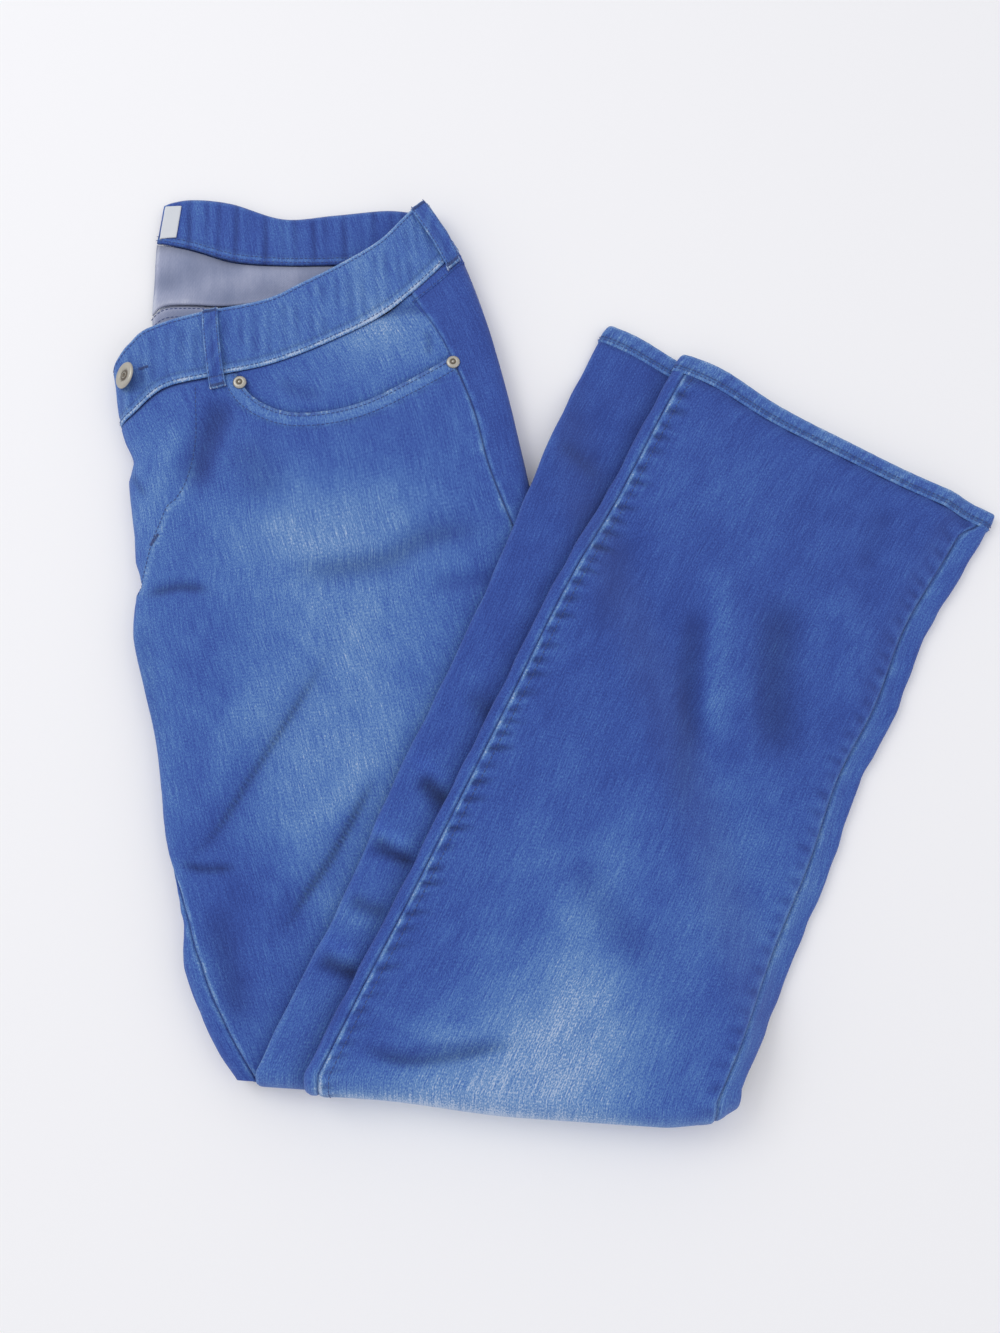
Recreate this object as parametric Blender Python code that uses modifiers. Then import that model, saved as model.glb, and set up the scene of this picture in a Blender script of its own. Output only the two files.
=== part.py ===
"""Bootcut jeans folded in half along the centre seams, both lower legs folded up over the thighs.

The plan tables are in millimetres: X to the right, Y away from the folded knees, Z up from the table.
The thighs lie as one stack, left leg over right leg. The left lower leg lies on them, the right one on top.
"""

import math
from collections import namedtuple

import bmesh
import bpy
import numpy as np

MM = 0.001
PLAN_CENTRE = np.array([28.0, 31.4])  # middle of the folded garment's plan

# Cloth and seams, mm
CLOTH = 1.5
BAND_CLOTH = 2.4
HEM_CLOTH = 2.1
SEAM_GAP = 0.3
LAYER_GAP = 1.0

# Heights above the table, mm
THIGH_TOP = 17.0
GROOVE = 8.5  # where the left leg's roll parts from the right leg's
BAND_LIFT = 1.2
BACK_FACE = 5.8  # inner face of the back at the open waist
RIGHT_BACK_FACE = 3.4
RIGHT_BACK_IN = 10.0
LEG_THICKNESS = 6.0
HIDDEN_INSET = 2.4  # outer face of the cloth to the hidden layers
HIDDEN_SIDE_INSET = 10.4
HIDDEN_TOP_INSET = 3.4

# Rolled edges, mm
ROLL = 7.0
FRONT_ROLL = 18.0
LEG_ROLL = 4.5
KNEE_ROLL = 12.5
INNER_KNEE_ROLL = 9.6

# Where the lower legs fall to the table past the thighs, and the upper one past the other, mm
EDGE_SLANT = 0.94  # square distance from the slanting thigh edge, for one along X
SLOPE_START = 10.0
SLOPE_END = 56.0
STEP_START = 8.0
STEP_END = 32.0

ThighRow = namedtuple("ThighRow", "name line parted")
THIGH_ROWS = (
    ThighRow("waist_top", ((-268, 203), (-258, 220), (-245, 230), (-212, 241), (-163, 252), (-138, 265),
                           (-111, 281), (-84, 301), (-64, 325), (-52, 334)), 0.0),
    ThighRow("waist_seam", ((-254, 161), (-244, 168), (-225, 186), (-192, 195), (-155, 204), (-116, 221),
                            (-75, 247), (-30, 296)), 0.0),
    ThighRow("pocket", ((-246, 138), (-6, 238)), 0.0),
    ThighRow("hip", ((-245, 105), (8, 185)), 0.0),
    ThighRow("seat", ((-239, 72), (18, 140)), 0.1),
    ThighRow("crotch", ((-235, 48), (27, 95)), 0.5),
    ThighRow("thigh_1", ((-237, 16), (40, 46)), 1.0),
    ThighRow("thigh_2", ((-228, -18), (55, 0)), 1.0),
    ThighRow("thigh_3", ((-217, -54), (69, -46)), 1.0),
    ThighRow("thigh_4", ((-206, -102), (84, -98)), 1.0),
    ThighRow("thigh_5", ((-196, -144), (98, -148)), 1.0),
    ThighRow("above_knee", ((-190, -184), (110, -192)), 1.0),
    ThighRow("knee_1", ((-170, -216), (120, -230)), 1.0),
    ThighRow("knee_2", ((-155, -242.5), (127, -259.3)), 1.0),
)

# The left leg's seams on the thigh: how far the side seam lies in from the right edge and the inseam
# from the left edge, mm, by row.
SIDE_SEAM_IN = (46, 43, 34, 26, 20, 13, 12, 12, 12, 12, 12, 12, 12, 12)
FIRST_INSEAM_ROW = 10
INSEAM_IN = (13, 16, 18, 17)
INSEAM_TURN = 6.0  # more cloth goes round the edge than the plan shows

LegRow = namedtuple("LegRow", "left right under_left under_right")
LEG_ROWS = (
    LegRow((118, 213), (324, 99), -50, 45),
    LegRow((96, 172), (303, 66), -49, 43),
    LegRow((61.5, 104), (272, 20), -42, 40),
    LegRow((28.5, 42), (246, -29), -36, 37),
    LegRow((-3, -24), (222, -75), -36, 35),
    LegRow((-33, -86), (199, -126), -35, 33),
    LegRow((-62, -146), (178, -170), -31, 31),
    LegRow((-90, -201), (156, -217), -30, 29),
    LegRow((-112, -246), (137, -261), -29, 27),
)
LEG_COLUMNS = 14  # from the upper leg's left edge to the rolled right edge of the leg under it
INSEAM_STRIP = 8.0
OUTSEAM_STRIP = 14.0
UNDER_SEAM = 12.0
UNDER_GAP = 0.7

BACK_TOP = ((-239, 333), (-220, 337), (-192, 334), (-155, 322), (-120, 325), (-85, 329), (-68, 328))
BACK_BAND_SEAM = ((-242, 302), (-218, 297), (-189, 288), (-161, 285), (-125, 285), (-85, 287), (-44, 290))
YOKE_SEAM = ((-241, 246), (-232, 253), (-213, 254), (-185, 254), (-120, 264), (-42, 279))
MOUTH_END = ((-230, 148), (-22, 235.5))

# The front pocket's curved mouth from the waist seam near the rivet to the side seam, mm
POCKET_MOUTH = ((-181, 214), (-179, 200), (-175, 191), (-167, 181), (-154, 173), (-137, 169), (-114, 171),
                (-91, 178), (-67, 191), (-47, 203), (-31, 213), (-18, 222), (-40, 300), (-84, 262),
                (-140, 226))
POCKET_STEP = 0.5
FACING_CLOTH = 1.2

# Soft troughs pressed in the top thigh: from, to, half width and depth, mm
Fold = namedtuple("Fold", "start end half_width depth")
FLAT_START = 34.0  # the thigh flattens towards the lower leg that lies on it
FLAT_END = 12.0
LEG_END_Y = 170.0  # the lower legs leave the thighs here
THIGH_FOLDS = (
    Fold((-160, 165), (-175, 95), 22, 3.0),
    Fold((-130, 60), (-25, 98), 20, 2.6),
    Fold((-110, 8), (-165, -85), 16, 2.6),
    Fold((-80, -75), (-125, -160), 13, 2.4),
    Fold((-215, -60), (-180, -130), 12, 1.6),
)
TOP_LEG_FOLDS = (
    Fold((130, 40), (112, -45), 14, 1.6),
    Fold((180, 40), (182, -55), 16, 1.8),
    Fold((-75, -236), (0, -230), 11, 1.6),
    Fold((40, -120), (90, -190), 18, 1.2),
)

# Trim, mm
BUTTON_PLACE = (-250.5, 193.0)
BUTTON_TILT = math.radians(40)
RIVET_PLACES = (("rivet_inner", (-175.5, 190.5)), ("rivet_outer", (-34.0, 206.0)))
LOOP_WIDTH = 11.0
LOOP_CLOTH = 1.6
LABEL_CLOTH = 0.7
LABEL_OUTLINE = ((-237.5, 330), (-226.5, 331), (-228.5, 306), (-239.5, 305))
LOOP_HUMP = 1.6
BUTTON_RISE = 3.2
BUTTON_PROFILE = ((0.0, 1.9), (3.0, 1.9), (4.2, 1.3), (5.6, 1.7), (7.6, 1.5), (8.5, 0.6), (7.6, -0.3),
                  (3.0, -0.6), (3.0, -1.6), (0.0, -1.6))
RIVET_PROFILE = ((0.0, 1.9), (1.4, 1.8), (2.6, 1.2), (4.0, 0.9), (4.6, 0.4), (4.6, 0.0), (0.0, 0.0))
TURN_STEPS = 24

# Where pieces stop, in rows or mm
PANEL_START = 1.006
YOKE_END = 1.16
HEM_ROWS = 0.386
HEM_GAP_ROWS = 0.008
CURL_WIDTH = 3.0
CURL_DROP = 1.0
FOLD_FLOOR = 3.0
LIP_STEPS = (1.3, 3.8, 5.8, 6.9)
UNDER_FACES = ("left_front_shin", "right_back_shin")

DENIM = (0.075, 0.140, 0.380)
FADED_DENIM = (0.120, 0.230, 0.480)
INSIDE_DENIM = (0.200, 0.240, 0.370)
LABEL_WHITE = (0.750, 0.770, 0.780)
PALE_METAL = (0.560, 0.530, 0.470)


def clear_scene():
    for item in list(bpy.data.objects):
        bpy.data.objects.remove(item, do_unlink=True)


def make_material(name, colour, roughness, metallic=0.0):
    material = bpy.data.materials.new(name)
    material.use_nodes = True
    shader = material.node_tree.nodes["Principled BSDF"]
    shader.inputs["Base Color"].default_value = (*colour, 1.0)
    shader.inputs["Roughness"].default_value = roughness
    shader.inputs["Metallic"].default_value = metallic
    return material


def mix(a, b, share):
    return a + (b - a) * share


def smooth_step(low, high, value):
    share = min(max((value - low) / (high - low), 0.0), 1.0)
    return share * share * (3.0 - 2.0 * share)


def by_row(values, s):
    """A table column read between its rows."""
    return float(np.interp(s, range(len(values)), values))


def line_length(line):
    points = np.array(line, float)
    return float(np.linalg.norm(np.diff(points, axis=0), axis=1).sum())


def on_line(line, distance):
    """The plan point at a distance along a line of points."""
    points = np.array(line, float)
    steps = np.concatenate([[0.0], np.cumsum(np.linalg.norm(np.diff(points, axis=0), axis=1))])
    return np.array([np.interp(distance, steps, points[:, 0]), np.interp(distance, steps, points[:, 1])])


def fold_relief(folds, x, y):
    """The summed depth of the soft troughs at a plan point, fading at both ends of each."""
    relief = 0.0
    for fold in folds:
        start = np.array(fold.start, float)
        along = np.array(fold.end, float) - start
        length = np.linalg.norm(along)
        along /= length
        offset = np.array([x, y]) - start
        run = offset @ along
        across = abs(offset[0] * along[1] - offset[1] * along[0])
        if across < fold.half_width:
            ends = smooth_step(-0.25, 0.3, run / length) * (1 - smooth_step(0.7, 1.25, run / length))
            relief -= fold.depth * ends * (0.5 + 0.5 * math.cos(math.pi * across / fold.half_width))
    return relief


# ---- Thigh stack ----

THIGH_LENGTHS = tuple(line_length(row.line) for row in THIGH_ROWS)
LAST_THIGH_ROW = len(THIGH_ROWS) - 1


def thigh_width(s):
    return by_row(THIGH_LENGTHS, s)


def thigh_plan(s, q):
    """Plan point on row s, q mm in from the left edge."""
    low = min(int(s), LAST_THIGH_ROW - 1)
    share = q / thigh_width(s)
    ends = [on_line(THIGH_ROWS[k].line, share * THIGH_LENGTHS[k]) for k in (low, low + 1)]
    return mix(ends[0], ends[1], s - low)


def thigh_edge_x(y):
    """X of the thigh stack's right edge at a depth on the table."""
    ends = sorted((row.line[-1][1], row.line[-1][0]) for row in THIGH_ROWS)
    return float(np.interp(y, [end[0] for end in ends], [end[1] for end in ends]))


def second_leg_left_x(y):
    """X of the lower leg's left edge at a depth on the table."""
    ends = []
    for row in LEG_ROWS:
        left = np.array(row.left, float)
        across = np.array(row.right, float) - left
        point = left + across / np.linalg.norm(across) * row.under_left
        ends.append((point[1], point[0]))
    ends.sort()
    return float(np.interp(y, [end[0] for end in ends], [end[1] for end in ends]))


def thigh_height(s, q):
    """Top face of the thigh stack: a little higher at the waistband, with soft troughs where it shows."""
    x, y = thigh_plan(s, q)
    bare = 1 - smooth_step(-FLAT_START, -FLAT_END, x - second_leg_left_x(y))
    if y > LEG_END_Y:
        bare = 1.0
    return THIGH_TOP + (BAND_LIFT if s < 1 else 0.0) + bare * fold_relief(THIGH_FOLDS, x, y)


def left_roll(s):
    """How far the left edge parts in two rolls, and the depth of its rounding."""
    parted = by_row([row.parted for row in THIGH_ROWS], s)
    return parted, mix(FRONT_ROLL, ROLL, parted)


def roll_length(depth):
    return math.pi * math.sqrt((depth**2 + (GROOVE / 2) ** 2) / 2)


def left_roll_q(parted, sine, cosine):
    """In from the left silhouette, for an angle round the roll."""
    level = (1 + sine) / 2
    return mix(FRONT_ROLL * (1 - math.sqrt(max(0.0, 1 - level**2))), ROLL * (1 - cosine), parted)


def thigh_around(s, reach, upper=True):
    """Point on the stack's outer face, reach mm round it from the left groove, over the top or under."""
    width = thigh_width(s)
    parted, depth = left_roll(s)
    left_length = roll_length(depth)
    right_length = roll_length(ROLL)
    total = upper_length(s)
    if reach < left_length:
        angle = math.pi * (reach / left_length - 0.5)
        q = left_roll_q(parted, math.sin(angle), math.cos(angle))
        level = (1 + math.sin(angle)) / 2
        rim = depth
    elif reach > total - right_length:
        angle = math.pi * ((total - reach) / right_length - 0.5)
        q = width - ROLL * (1 - math.cos(angle))
        level = (1 + math.sin(angle)) / 2
        rim = width - ROLL
    else:
        q = depth + reach - left_length
        level = 1.0
        rim = q
    x, y = thigh_plan(s, q)
    if upper:
        low = GROOVE + SEAM_GAP / 2
        z = low + (thigh_height(s, rim) - low) * level
    else:
        z = (GROOVE - SEAM_GAP / 2) * (1 - level)
    return np.array([x, y, z])


def upper_length(s):
    return roll_length(left_roll(s)[1]) + thigh_width(s) - left_roll(s)[1] - ROLL + roll_length(ROLL)


def thigh_normal(s, reach, upper=True):
    step = 0.6
    here = thigh_around(s, reach, upper)
    along = thigh_around(min(s + 0.02, LAST_THIGH_ROW), reach, upper) - here
    across = thigh_around(s, reach + step, upper) - here
    normal = np.cross(along, across)
    return normal / np.linalg.norm(normal)


# ---- Lower legs ----

LAST_LEG_ROW = len(LEG_ROWS) - 1


def leg_frame(s):
    """Left point, unit vector across and width of the upper lower leg at row s."""
    left = np.array([by_row([row.left[k] for row in LEG_ROWS], s) for k in (0, 1)])
    right = np.array([by_row([row.right[k] for row in LEG_ROWS], s) for k in (0, 1)])
    width = np.linalg.norm(right - left)
    return left, (right - left) / width, width


def leg_plan(s, p):
    left, across, _ = leg_frame(s)
    return left + across * p


def ground(s, p):
    """What the lower legs lie on: the thigh stack, then a slope, then the table."""
    x, y = leg_plan(s, p)
    past = (x - thigh_edge_x(y)) * EDGE_SLANT
    return (THIGH_TOP + LAYER_GAP) * (1 - smooth_step(SLOPE_START, SLOPE_END, past))


def second_edges(s):
    width = leg_frame(s)[2]
    return (by_row([row.under_left for row in LEG_ROWS], s),
            width - by_row([row.under_right for row in LEG_ROWS], s))


def second_bottom(s, p):
    return ground(s, p)


def second_top(s, p):
    return ground(s, p) + LEG_THICKNESS


def top_bottom(s, p):
    past = p - second_edges(s)[1]
    return ground(s, p) + (LEG_THICKNESS + LAYER_GAP) * (1 - smooth_step(STEP_START, STEP_END, past))


def top_top(s, p):
    x, y = leg_plan(s, p)
    return top_bottom(s, p) + LEG_THICKNESS + fold_relief(TOP_LEG_FOLDS, x, y)


def top_edges(s):
    return 0.0, leg_frame(s)[2]


Leg = namedtuple("Leg", "edges bottom top columns")
SECOND_LEG = Leg(second_edges, second_bottom, second_top, range(-1, LEG_COLUMNS))
TOP_LEG = Leg(top_edges, top_bottom, top_top, range(1, LEG_COLUMNS + 1))
ROLL_ANGLES = tuple(math.radians(angle) for angle in (60, 30, 0, -30, -60))


def leg_point(s, p, z):
    x, y = leg_plan(s, p)
    return np.array([x, y, z])


def leg_face(leg, s, start, end, face):
    """Points across one face of a flattened leg, left to right. Both legs share their columns."""
    column = (second_edges(s)[1] - LEG_ROLL) / LEG_COLUMNS
    inner = [k * column for k in leg.columns]
    if leg is TOP_LEG:
        past = second_edges(s)[1] + STEP_START - 2
        inner += [past, (past + top_edges(s)[1] - OUTSEAM_STRIP) / 2]
    return [leg_point(s, p, face(s, p)) for p in (start, *inner, end)]


def leg_edge(leg, s, side):
    """Points round a rolled edge: up the left one, down the right one."""
    left, right = leg.edges(s)
    rim = left + LEG_ROLL if side == "left" else right - LEG_ROLL
    low, high = leg.bottom(s, rim), leg.top(s, rim)
    points = []
    for angle in ROLL_ANGLES:
        out = LEG_ROLL * (1 - math.cos(angle))
        p = left + out if side == "left" else right - out
        points.append(leg_point(s, p, (low + high) / 2 + (high - low) / 2 * math.sin(angle)))
    return points[::-1] if side == "left" else points


# ---- Making solids ----

def link(item, collection, material):
    collection.objects.link(item)
    item.data.materials.append(material)
    return item


def placed(points):
    """Plan millimetres to metres about the garment's middle."""
    points = np.array(points, float)
    points[..., :2] -= PLAN_CENTRE
    return points * MM


def grid_faces(rows, columns, round_way=False, mirrored=False):
    """Two triangles a cell. Stacked layers split their cells the same way, so that they stay parallel."""
    last = columns if round_way else columns - 1
    faces = []
    for i in range(rows - 1):
        for j in range(last):
            k = (j + 1) % columns
            a, b, c, d = i * columns + j, (i + 1) * columns + j, (i + 1) * columns + k, i * columns + k
            faces += [(b, c, d), (b, d, a)] if mirrored else [(a, b, c), (a, c, d)]
    return faces


def cloth_wall(name, grid, thickness, round_way=False, mirrored=False):
    """A wall of cloth: an open loft through the outer points, thickened inwards."""
    grid = placed(grid)
    rows, columns = grid.shape[:2]
    mesh = bpy.data.meshes.new(name)
    mesh.from_pydata(grid.reshape(-1, 3).tolist(), [], grid_faces(rows, columns, round_way, mirrored))
    mesh.update()
    item = bpy.data.objects.new(name, mesh)
    thicken = item.modifiers.new("cloth", "SOLIDIFY")
    thicken.thickness = thickness * MM
    thicken.offset = -1.0
    thicken.use_even_offset = False
    return item


def closed_loft(name, rings):
    """A solid through closed rings, with a flat cap at each end."""
    rings = placed(rings)
    rows, columns = rings.shape[:2]
    faces = grid_faces(rows, columns, True)
    faces.append(tuple(range(columns)))
    faces.append(tuple(range(rows * columns - 1, (rows - 1) * columns - 1, -1)))
    mesh = bpy.data.meshes.new(name)
    mesh.from_pydata(rings.reshape(-1, 3).tolist(), [], faces)
    mesh.update()
    return bpy.data.objects.new(name, mesh)


def prism(name, outline, low, high):
    """An upright prism on a plan outline."""
    work = bmesh.new()
    corners = [work.verts.new(placed((x, y, low))) for x, y in outline]
    face = work.faces.new(corners)
    grown = bmesh.ops.extrude_face_region(work, geom=[face])
    risen = [part for part in grown["geom"] if isinstance(part, bmesh.types.BMVert)]
    bmesh.ops.translate(work, verts=risen, vec=(0, 0, (high - low) * MM))
    bmesh.ops.recalc_face_normals(work, faces=work.faces)
    mesh = bpy.data.meshes.new(name)
    work.to_mesh(mesh)
    work.free()
    return bpy.data.objects.new(name, mesh)


def cut(item, cutter, operation):
    boolean = item.modifiers.new("cut", "BOOLEAN")
    boolean.operation = operation
    boolean.solver = "EXACT"
    boolean.object = cutter


# ---- Thigh pieces ----

START_STEPS = (0, 3, 6.5, 10.5, 15, 21)


def reaches(start, end, count, fine_start=False, fine_end=False):
    """Distances round the stack, close together over a roll."""
    head = [start + step for step in START_STEPS] if fine_start else [start]
    tail = [end - step for step in reversed(START_STEPS)] if fine_end else [end]
    middle = np.linspace(head[-1], tail[0], count)[1:-1]
    return [*head, *middle, *tail]


def side_seam_reach(s):
    return upper_length(s) - roll_length(ROLL) + ROLL - by_row(SIDE_SEAM_IN, s)


def inseam_reach(s):
    if s < FIRST_INSEAM_ROW:
        return 0.0
    return by_row(INSEAM_IN, s - FIRST_INSEAM_ROW) + INSEAM_TURN


def row_run(first, last):
    return [first, *range(math.floor(first) + 1, math.ceil(last)), last]


def front_grid(upper=True):
    """A front between its seams: from the centre front or the inseam to the side seam."""
    grid = []
    rows = row_run(PANEL_START, LAST_THIGH_ROW - 0.02)
    rows.insert(rows.index(FIRST_INSEAM_ROW), FIRST_INSEAM_ROW - 0.012)
    for s in rows:
        start = 0.0 if s < FIRST_INSEAM_ROW else inseam_reach(s) + SEAM_GAP * 2
        end = side_seam_reach(s) - SEAM_GAP
        grid.append([thigh_around(s, r, upper) for r in reaches(start, end, 12, fine_start=True)])
    return grid


def back_side_grid(first, last, upper=True):
    """The back's strip from the side seam round the right edge to the groove."""
    grid = []
    for s in row_run(first, last):
        start, end = side_seam_reach(s), upper_length(s)
        grid.append([thigh_around(s, r, upper) for r in reaches(start, end, 3, fine_end=True)])
    return grid


def back_inseam_grid(upper=True):
    """The back's strip from the groove round the left edge to the inseam, near the knee."""
    grid = []
    for s in row_run(FIRST_INSEAM_ROW + 0.02, LAST_THIGH_ROW - 0.02):
        grid.append([thigh_around(s, r, upper) for r in reaches(0.0, inseam_reach(s), 9)])
    return grid


def band_grid(upper=True):
    """The waistband from the centre front round the side."""
    grid = []
    for s in (0.0, 0.5, 2 - PANEL_START):
        seam, end = side_seam_reach(s), upper_length(s)
        run = reaches(0.0, seam - SEAM_GAP, 12, fine_start=True) + reaches(seam, end, 3, fine_end=True)
        grid.append([thigh_around(s, r, upper) for r in run])
    return grid


def turned(grid):
    """The grid with its columns the other way round, for the underside."""
    return [row[::-1] for row in grid]


def between(line_a, line_b, share_a, share_b, height, rows, left_in, drop):
    """Flat cloth between two plan lines, its left edge curled down at the centre back."""
    shares = list(np.linspace(left_in / line_length(line_a), 1, 12))
    shares.insert(1, shares[0] + CURL_WIDTH / line_length(line_a))
    grid = []
    for down in np.linspace(share_a, share_b, rows):
        points = []
        for across in shares:
            a = on_line(line_a, across * line_length(line_a))
            b = on_line(line_b, across * line_length(line_b))
            points.append([*mix(a, b, down), height - (drop if across == shares[0] else 0.0)])
        grid.append(points)
    return grid


def hidden_ring(s):
    """Section of the hidden layers: the thigh stack's own section, set in under the cloth."""
    width = thigh_width(s)
    parted, depth = left_roll(s)
    inset = HIDDEN_INSET
    side = HIDDEN_SIDE_INSET
    inner = ROLL + 0.8
    ring = []

    def add(q, z):
        ring.append([*thigh_plan(s, q), z])

    rise = [math.radians(angle) for angle in (-90, -45, 0, 45, 90)]
    left_top = thigh_height(s, depth) - HIDDEN_TOP_INSET + inset
    for angle in rise:
        level = (1 + math.sin(angle)) / 2
        single_q = FRONT_ROLL + 4 - (FRONT_ROLL + 4 - side) * math.sqrt(1 - level**2)
        single_z = mix(GROOVE + 0.4, left_top - inset, level)
        add(mix(single_q, side + 2 - 2 * math.cos(angle), parted),
            mix(single_z, mix(GROOVE + inset, left_top - inset, level), parted))
    for q in np.linspace(depth + 12, width - inner - 8, 12):
        add(q, thigh_height(s, q) - HIDDEN_TOP_INSET)
    right_top = thigh_height(s, width - ROLL)
    for angle in reversed(rise):
        level = (1 + math.sin(angle)) / 2
        add(width - inner + (inner - inset) * math.cos(angle), mix(GROOVE + inset, right_top - inset, level))
    for angle in reversed(rise):
        level = (1 + math.sin(angle)) / 2
        add(width - inner + (inner - inset) * math.cos(angle), mix(inset, GROOVE - inset, level))
    for angle in rise:
        level = (1 - math.sin(angle)) / 2
        single_q = FRONT_ROLL + 4 - (FRONT_ROLL + 4 - side) * math.sqrt(1 - level**2)
        single_z = mix(GROOVE - 0.4, inset, level)
        add(mix(single_q, side + 2 - 2 * math.cos(angle), parted),
            mix(single_z, mix(GROOVE - inset, inset, level), parted))
    return ring


def hidden_lip(out):
    """Section of the hidden layers inside the knee fold, out mm past where the fold starts."""
    left, across, width = leg_frame(LAST_LEG_ROW)
    start, end = second_edges(LAST_LEG_ROW)
    top = second_top(LAST_LEG_ROW, 0.0) - HIDDEN_INSET
    low = FOLD_FLOOR + HIDDEN_INSET
    reach = INNER_KNEE_ROLL - HIDDEN_INSET
    half = (top - low) / 2 * math.sqrt(1 - (out / reach) ** 2)
    middle = (top + low) / 2
    base = left + knee_out() * out
    first, last = start + 3.0, end - 6.0
    levels = (0.1, 0.3, 0.55, 0.8, 1.0)
    sides = [(first + 0.6 * level, level) for level in levels]
    sides += [(p, 1.0) for p in np.linspace(first + 12, last - 12, 12)]
    sides += [(last - 0.6 * level, level) for level in reversed(levels)]
    sides += [(last - 0.6 * level, -level) for level in levels]
    sides += [(first + 0.6 * level, -level) for level in reversed(levels)]
    return [[*(base + across * p), middle + half * level] for p, level in sides]


def knee_out():
    """Unit vector in plan, out of the knee fold."""
    across = leg_frame(LAST_LEG_ROW)[1]
    return np.array([across[1], -across[0]])


def knee_grid(leg, roll, floor, first, last, lowest):
    """Cloth round the knee fold, from the leg's top face down to the floor or the layers below."""
    left, across, _ = leg_frame(LAST_LEG_ROW)
    grid = []
    for angle in np.linspace(90, lowest, 9):
        turn = math.radians(angle)
        row = []
        for p in np.linspace(first, last, 14):
            top = leg.top(LAST_LEG_ROW, p)
            plan = left + across * p + knee_out() * roll * math.cos(turn)
            row.append([*plan, mix(floor, top, (1 + math.sin(turn)) / 2)])
        grid.append(row)
    return grid


# ---- Lower leg pieces ----

def leg_run(first, last):
    return [first, *np.arange(math.floor(first * 2 + 1) / 2, last - 0.1, 0.5), last]


def left_back_shin_grid():
    """Back of the left lower leg: its upper face, wrapping round both edges to the seams below."""
    grid = []
    for s in leg_run(HEM_ROWS, LAST_LEG_ROW - 0.01):
        left, right = second_edges(s)
        row = [leg_point(s, p, second_bottom(s, p)) for p in (left + UNDER_SEAM, left + LEG_ROLL)]
        row += leg_edge(SECOND_LEG, s, "left")
        row += leg_face(SECOND_LEG, s, left + LEG_ROLL, right - LEG_ROLL, second_top)
        row += leg_edge(SECOND_LEG, s, "right")
        row += [leg_point(s, p, second_bottom(s, p)) for p in (right - LEG_ROLL, right - UNDER_SEAM)]
        grid.append(row)
    return grid


def left_front_shin_grid():
    grid = []
    for s in leg_run(HEM_ROWS, LAST_LEG_ROW - 0.06):
        left, right = second_edges(s)
        first, last = left + UNDER_SEAM + UNDER_GAP, right - UNDER_SEAM - UNDER_GAP
        grid.append(leg_face(SECOND_LEG, s, first, last, second_bottom)[::-1])
    return grid


def right_back_shin_grid():
    """Back of the right lower leg: its lower face, wrapping up round both edges to the seams on top."""
    grid = []
    for s in leg_run(HEM_ROWS, LAST_LEG_ROW - 0.06):
        width = top_edges(s)[1]
        row = [leg_point(s, p, top_top(s, p)) for p in (width - OUTSEAM_STRIP, width - LEG_ROLL)]
        row += leg_edge(TOP_LEG, s, "right")
        row += leg_face(TOP_LEG, s, LEG_ROLL, width - LEG_ROLL, top_bottom)[::-1]
        row += leg_edge(TOP_LEG, s, "left")
        row += [leg_point(s, p, top_top(s, p)) for p in (LEG_ROLL, INSEAM_STRIP)]
        grid.append(row)
    return grid


def right_front_shin_grid():
    grid = []
    for s in leg_run(HEM_ROWS, LAST_LEG_ROW - 0.01):
        width = top_edges(s)[1]
        start, end = INSEAM_STRIP + SEAM_GAP, width - OUTSEAM_STRIP - SEAM_GAP * 2
        grid.append(leg_face(TOP_LEG, s, start, end, top_top))
    return grid


def hem_grid(leg):
    """A hem: the folded edge all round the leg."""
    grid = []
    for s in (0.0, 0.15, HEM_ROWS - HEM_GAP_ROWS):
        left, right = leg.edges(s)
        row = leg_edge(leg, s, "left")
        row += leg_face(leg, s, left + LEG_ROLL, right - LEG_ROLL, leg.top)
        row += leg_edge(leg, s, "right")
        row += leg_face(leg, s, left + LEG_ROLL, right - LEG_ROLL, leg.bottom)[::-1]
        grid.append(row)
    return grid


# ---- Trim ----

def turned_piece(name, profile, place, normal):
    """A round piece from its half profile, top to bottom, standing on a surface."""
    mesh = bpy.data.meshes.new(name)
    points = [(radius * MM, 0.0, height * MM) for radius, height in profile]
    mesh.from_pydata(points, [(k, k + 1) for k in range(len(points) - 1)], [])
    item = bpy.data.objects.new(name, mesh)
    item.location = placed(place)
    item.rotation_euler = normal
    spin = item.modifiers.new("turn", "SCREW")
    spin.steps = TURN_STEPS
    spin.render_steps = TURN_STEPS
    spin.use_merge_vertices = True
    spin.merge_threshold = 0.00001
    return item


def loop_grid(s_run, middle):
    """A belt loop on the waistband: held at both ends, standing a little proud between."""
    grid = []
    for k, s in enumerate(s_run):
        rise = LOOP_HUMP * math.sin(math.pi * k / (len(s_run) - 1))
        lift = LOOP_CLOTH + SEAM_GAP + 0.2 + rise
        row = []
        for side in (-0.5, -0.17, 0.17, 0.5):
            reach = middle(s) + side * LOOP_WIDTH
            row.append(thigh_around(s, reach) + thigh_normal(s, reach) * lift)
        grid.append(row)
    return grid


def front_loop_middle(s):
    return mix(80.0, 73.5, s) - left_roll(s)[1] + roll_length(left_roll(s)[1])


def side_loop_middle(s):
    return upper_length(s) - roll_length(ROLL) - 2.0


def inset_outline(outline, distance):
    """The outline drawn in by a distance, each corner along its bisector."""
    points = np.array(outline, float)
    before = points - np.roll(points, 1, axis=0)
    after = np.roll(points, -1, axis=0) - points
    before /= np.linalg.norm(before, axis=1)[:, None]
    after /= np.linalg.norm(after, axis=1)[:, None]
    tangent = before + after
    normal = np.stack([-tangent[:, 1], tangent[:, 0]], axis=1)
    normal /= np.linalg.norm(normal, axis=1)[:, None]
    return points + normal * distance


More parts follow.
